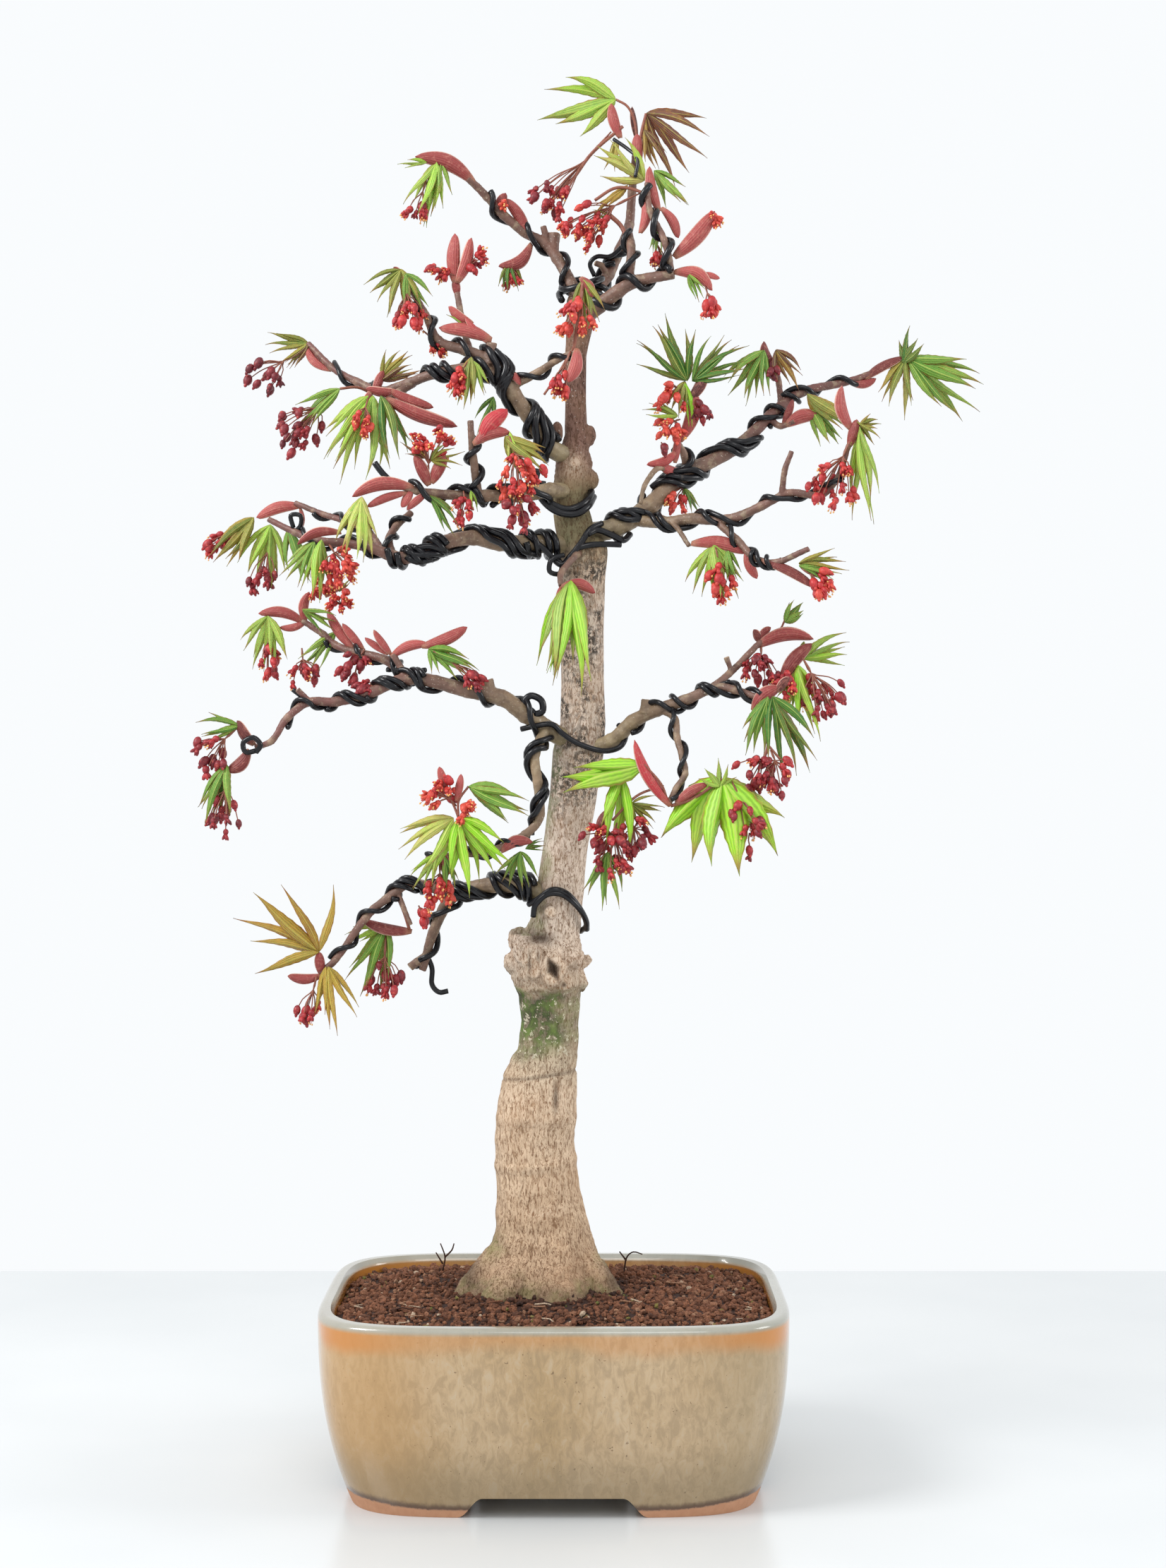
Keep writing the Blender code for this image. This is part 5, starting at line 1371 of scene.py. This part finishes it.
        scale=[((48, -35, 283), (33, -37, 310), 6.5, 0.85, 0.06)],
        stalks=[(0.5, [(47, -34, 284), (44, -37, 292), (37, -38, 300)])]),
    "right_hanging_flowers": dict(
        leaf=[((28, -31, 296), (-0.1, -1), 35, 34, 4, "bright", 0.2),
            ((22, -34, 264), (-0.1, -1), 24, 60, 5, "green"), ((32, -31, 284), (0.85, -0.4), 14, 90, 5, "olive")],
        scale=[((22, -30, 281), (18, -31, 274), 5, 0.3, 0)],
        flowers=[((26, -31, 276), (22, -35, 264), 13, 22, 0.42), ((32, -31, 276), (34, -33, 270), 8, 11, 0.3)],
        stalks=[(0.5, [(45, -34, 291), (36, -32, 297), (28, -31, 296)]),
            (0.55, [(44, -34, 291), (34, -32, 287), (24, -32, 277)])]),
    "trunk_front": dict(
        leaf=[((7, -28, 376), (-0.1, -1), 47, 36, 7, "bright", 0.17), ((6, -28, 375), (-0.2, -1), 40, 24, 4, "lime")],
        scale=[((3, -25, 374), (17, -28, 371), 5.5, 0.6, 0.15), ((3, -24, 374), (1, -25, 369), 3, 0.5, 0)]),
    "left_hanging_palm": dict(
        leaf=[((-39, -36, 278), (0.35, -1), 31, 90, 7, "bright"), ((-41, -35, 278), (-0.8, -0.5), 27, 60, 5, "pale"),
            ((-35, -34, 291), (0.82, -0.32), 28, 34, 5, "green")],
        scale=[((-44, -34, 288), (-47, -35, 299), 4, 0.75, 0), ((-40, -35, 285), (-38, -35, 296), 4, 0.75, 0)],
        flowers=[((-40, -34, 283), (-46, -36, 288), 7.5, 11, 0.75), ((-38, -34, 281), (-36, -36, 281), 4, 5, 0.8)],
        stalks=[(0.6, [(-41, -27, 264), (-40, -31, 271), (-39, -36, 278)]),
            (0.5, [(-39, -36, 278), (-39, -35, 285), (-35, -34, 291)]),
            (0.5, [(-39, -36, 278), (-41, -34, 283), (-44, -34, 289)])]),
    "left_hanging_bud": dict(
        leaf=[((-48, -30, 263), (-0.6, -0.8), 17, 50, 5, "lime"), ((-45, -30, 262), (0.3, -1), 16, 30, 3, "green")],
        scale=[((-46, -29, 264), (-44, -30, 254), 5, 0.35, 0)],
        flowers=[((-47, -30, 260), (-47, -31, 248), 6.5, 9, 0.75)]),
    "left_hanging_inner": dict(
        leaf=[((-14, -22, 264), (-0.15, -1), 17, 80, 5, "green"), ((-12, -22, 265), (0.7, 0.2), 10, 30, 3, "dark")],
        scale=[((-22, -24, 264), (-9, -23, 268), 6, 0.6, 0.15)]),
    "left_bottom_up": dict(
        leaf=[((-98, -20, 222), (-0.75, 0.66), 36, 100, 5, "ochre", 0.21)],
        scale=[((-97, -18, 212), (-98, -20, 222), 5, 0.35, 0), ((-97, -18, 212), (-111, -20, 212), 5, 0.5, 0.1)]),
    "left_bottom_down": dict(
        leaf=[((-94, -21, 216), (0.25, -1), 27, 60, 4, "ochre", 0.2),
            ((-95, -21, 216), (-0.15, -1), 24, 10, 2, "ochre", 0.2)],
        flowers=[((-99, -20, 212), (-102, -20, 198), 5.5, 7, 0.5)]),
    "left_bottom_bud": dict(
        leaf=[((-71, -9, 232), (-0.4, -0.92), 30, 40, 5, "green"), ((-72, -9, 232), (-1, -0.25), 17, 30, 3, "lime")],
        scale=[((-60, -10, 230), (-81, -10, 235), 6.5, 0.35, 0.05)],
        flowers=[((-71, -9, 228), (-72, -10, 208), 9, 12, 0.3), ((-57, -13, 241), (-55, -14, 236), 3.5, 4, 0.65)],
        stalks=[(0.7, [(-66, -12, 245), (-63, -13, 238), (-61, -11, 231)])]),
}


shootLook = {"seed": 100, "leafThickness": 0.22, "scaleThickness": 0.35, "stalkSides": 7}


def buildShoots():
    sheets = {"leaf": (addLeaf, leafMaterial(), shootLook["leafThickness"]),
            "scale": (addScale, scaleMaterial(), shootLook["scaleThickness"])}
    flowery = flowerMaterial()
    for index, (name, parts) in enumerate(shoots.items()):
        rng = random.Random(shootLook["seed"] + index)
        nodes = [f"shoot_{name}"] if f"shoot_{name}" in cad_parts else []
        for kind, (addOne, material, thickness) in sheets.items():
            if kind not in parts:
                continue
            bm, tone = newShape()
            for values in parts[kind]:
                addOne(bm, tone, rng, *values)
            piece = addPiece(f"{kind}_{name}", meshOf(bm, name, False), material, "new_leaf", *nodes)
            thicken = piece.modifiers.new("thickness", "SOLIDIFY")
            thicken.thickness, thicken.offset = thickness * mm, 0
            nodes = []  # the shoot's first piece takes the place of its node
        if "flowers" in parts or "stalks" in parts:
            bm, tone = newShape()
            for cluster in parts.get("flowers", []):
                addFlowers(bm, tone, rng, *cluster)
            for radius, points in parts.get("stalks", []):
                route = smoothRoute(points, 1.5)
                addTube(bm, tone, route, [radius] * len(route), shootLook["stalkSides"], (0, 0.02, 0.5))
            addPiece(f"flowers_{name}", meshOf(bm, name), flowery, "new_leaf", *nodes)


buildShoots()
print("shoots")

print("finished")
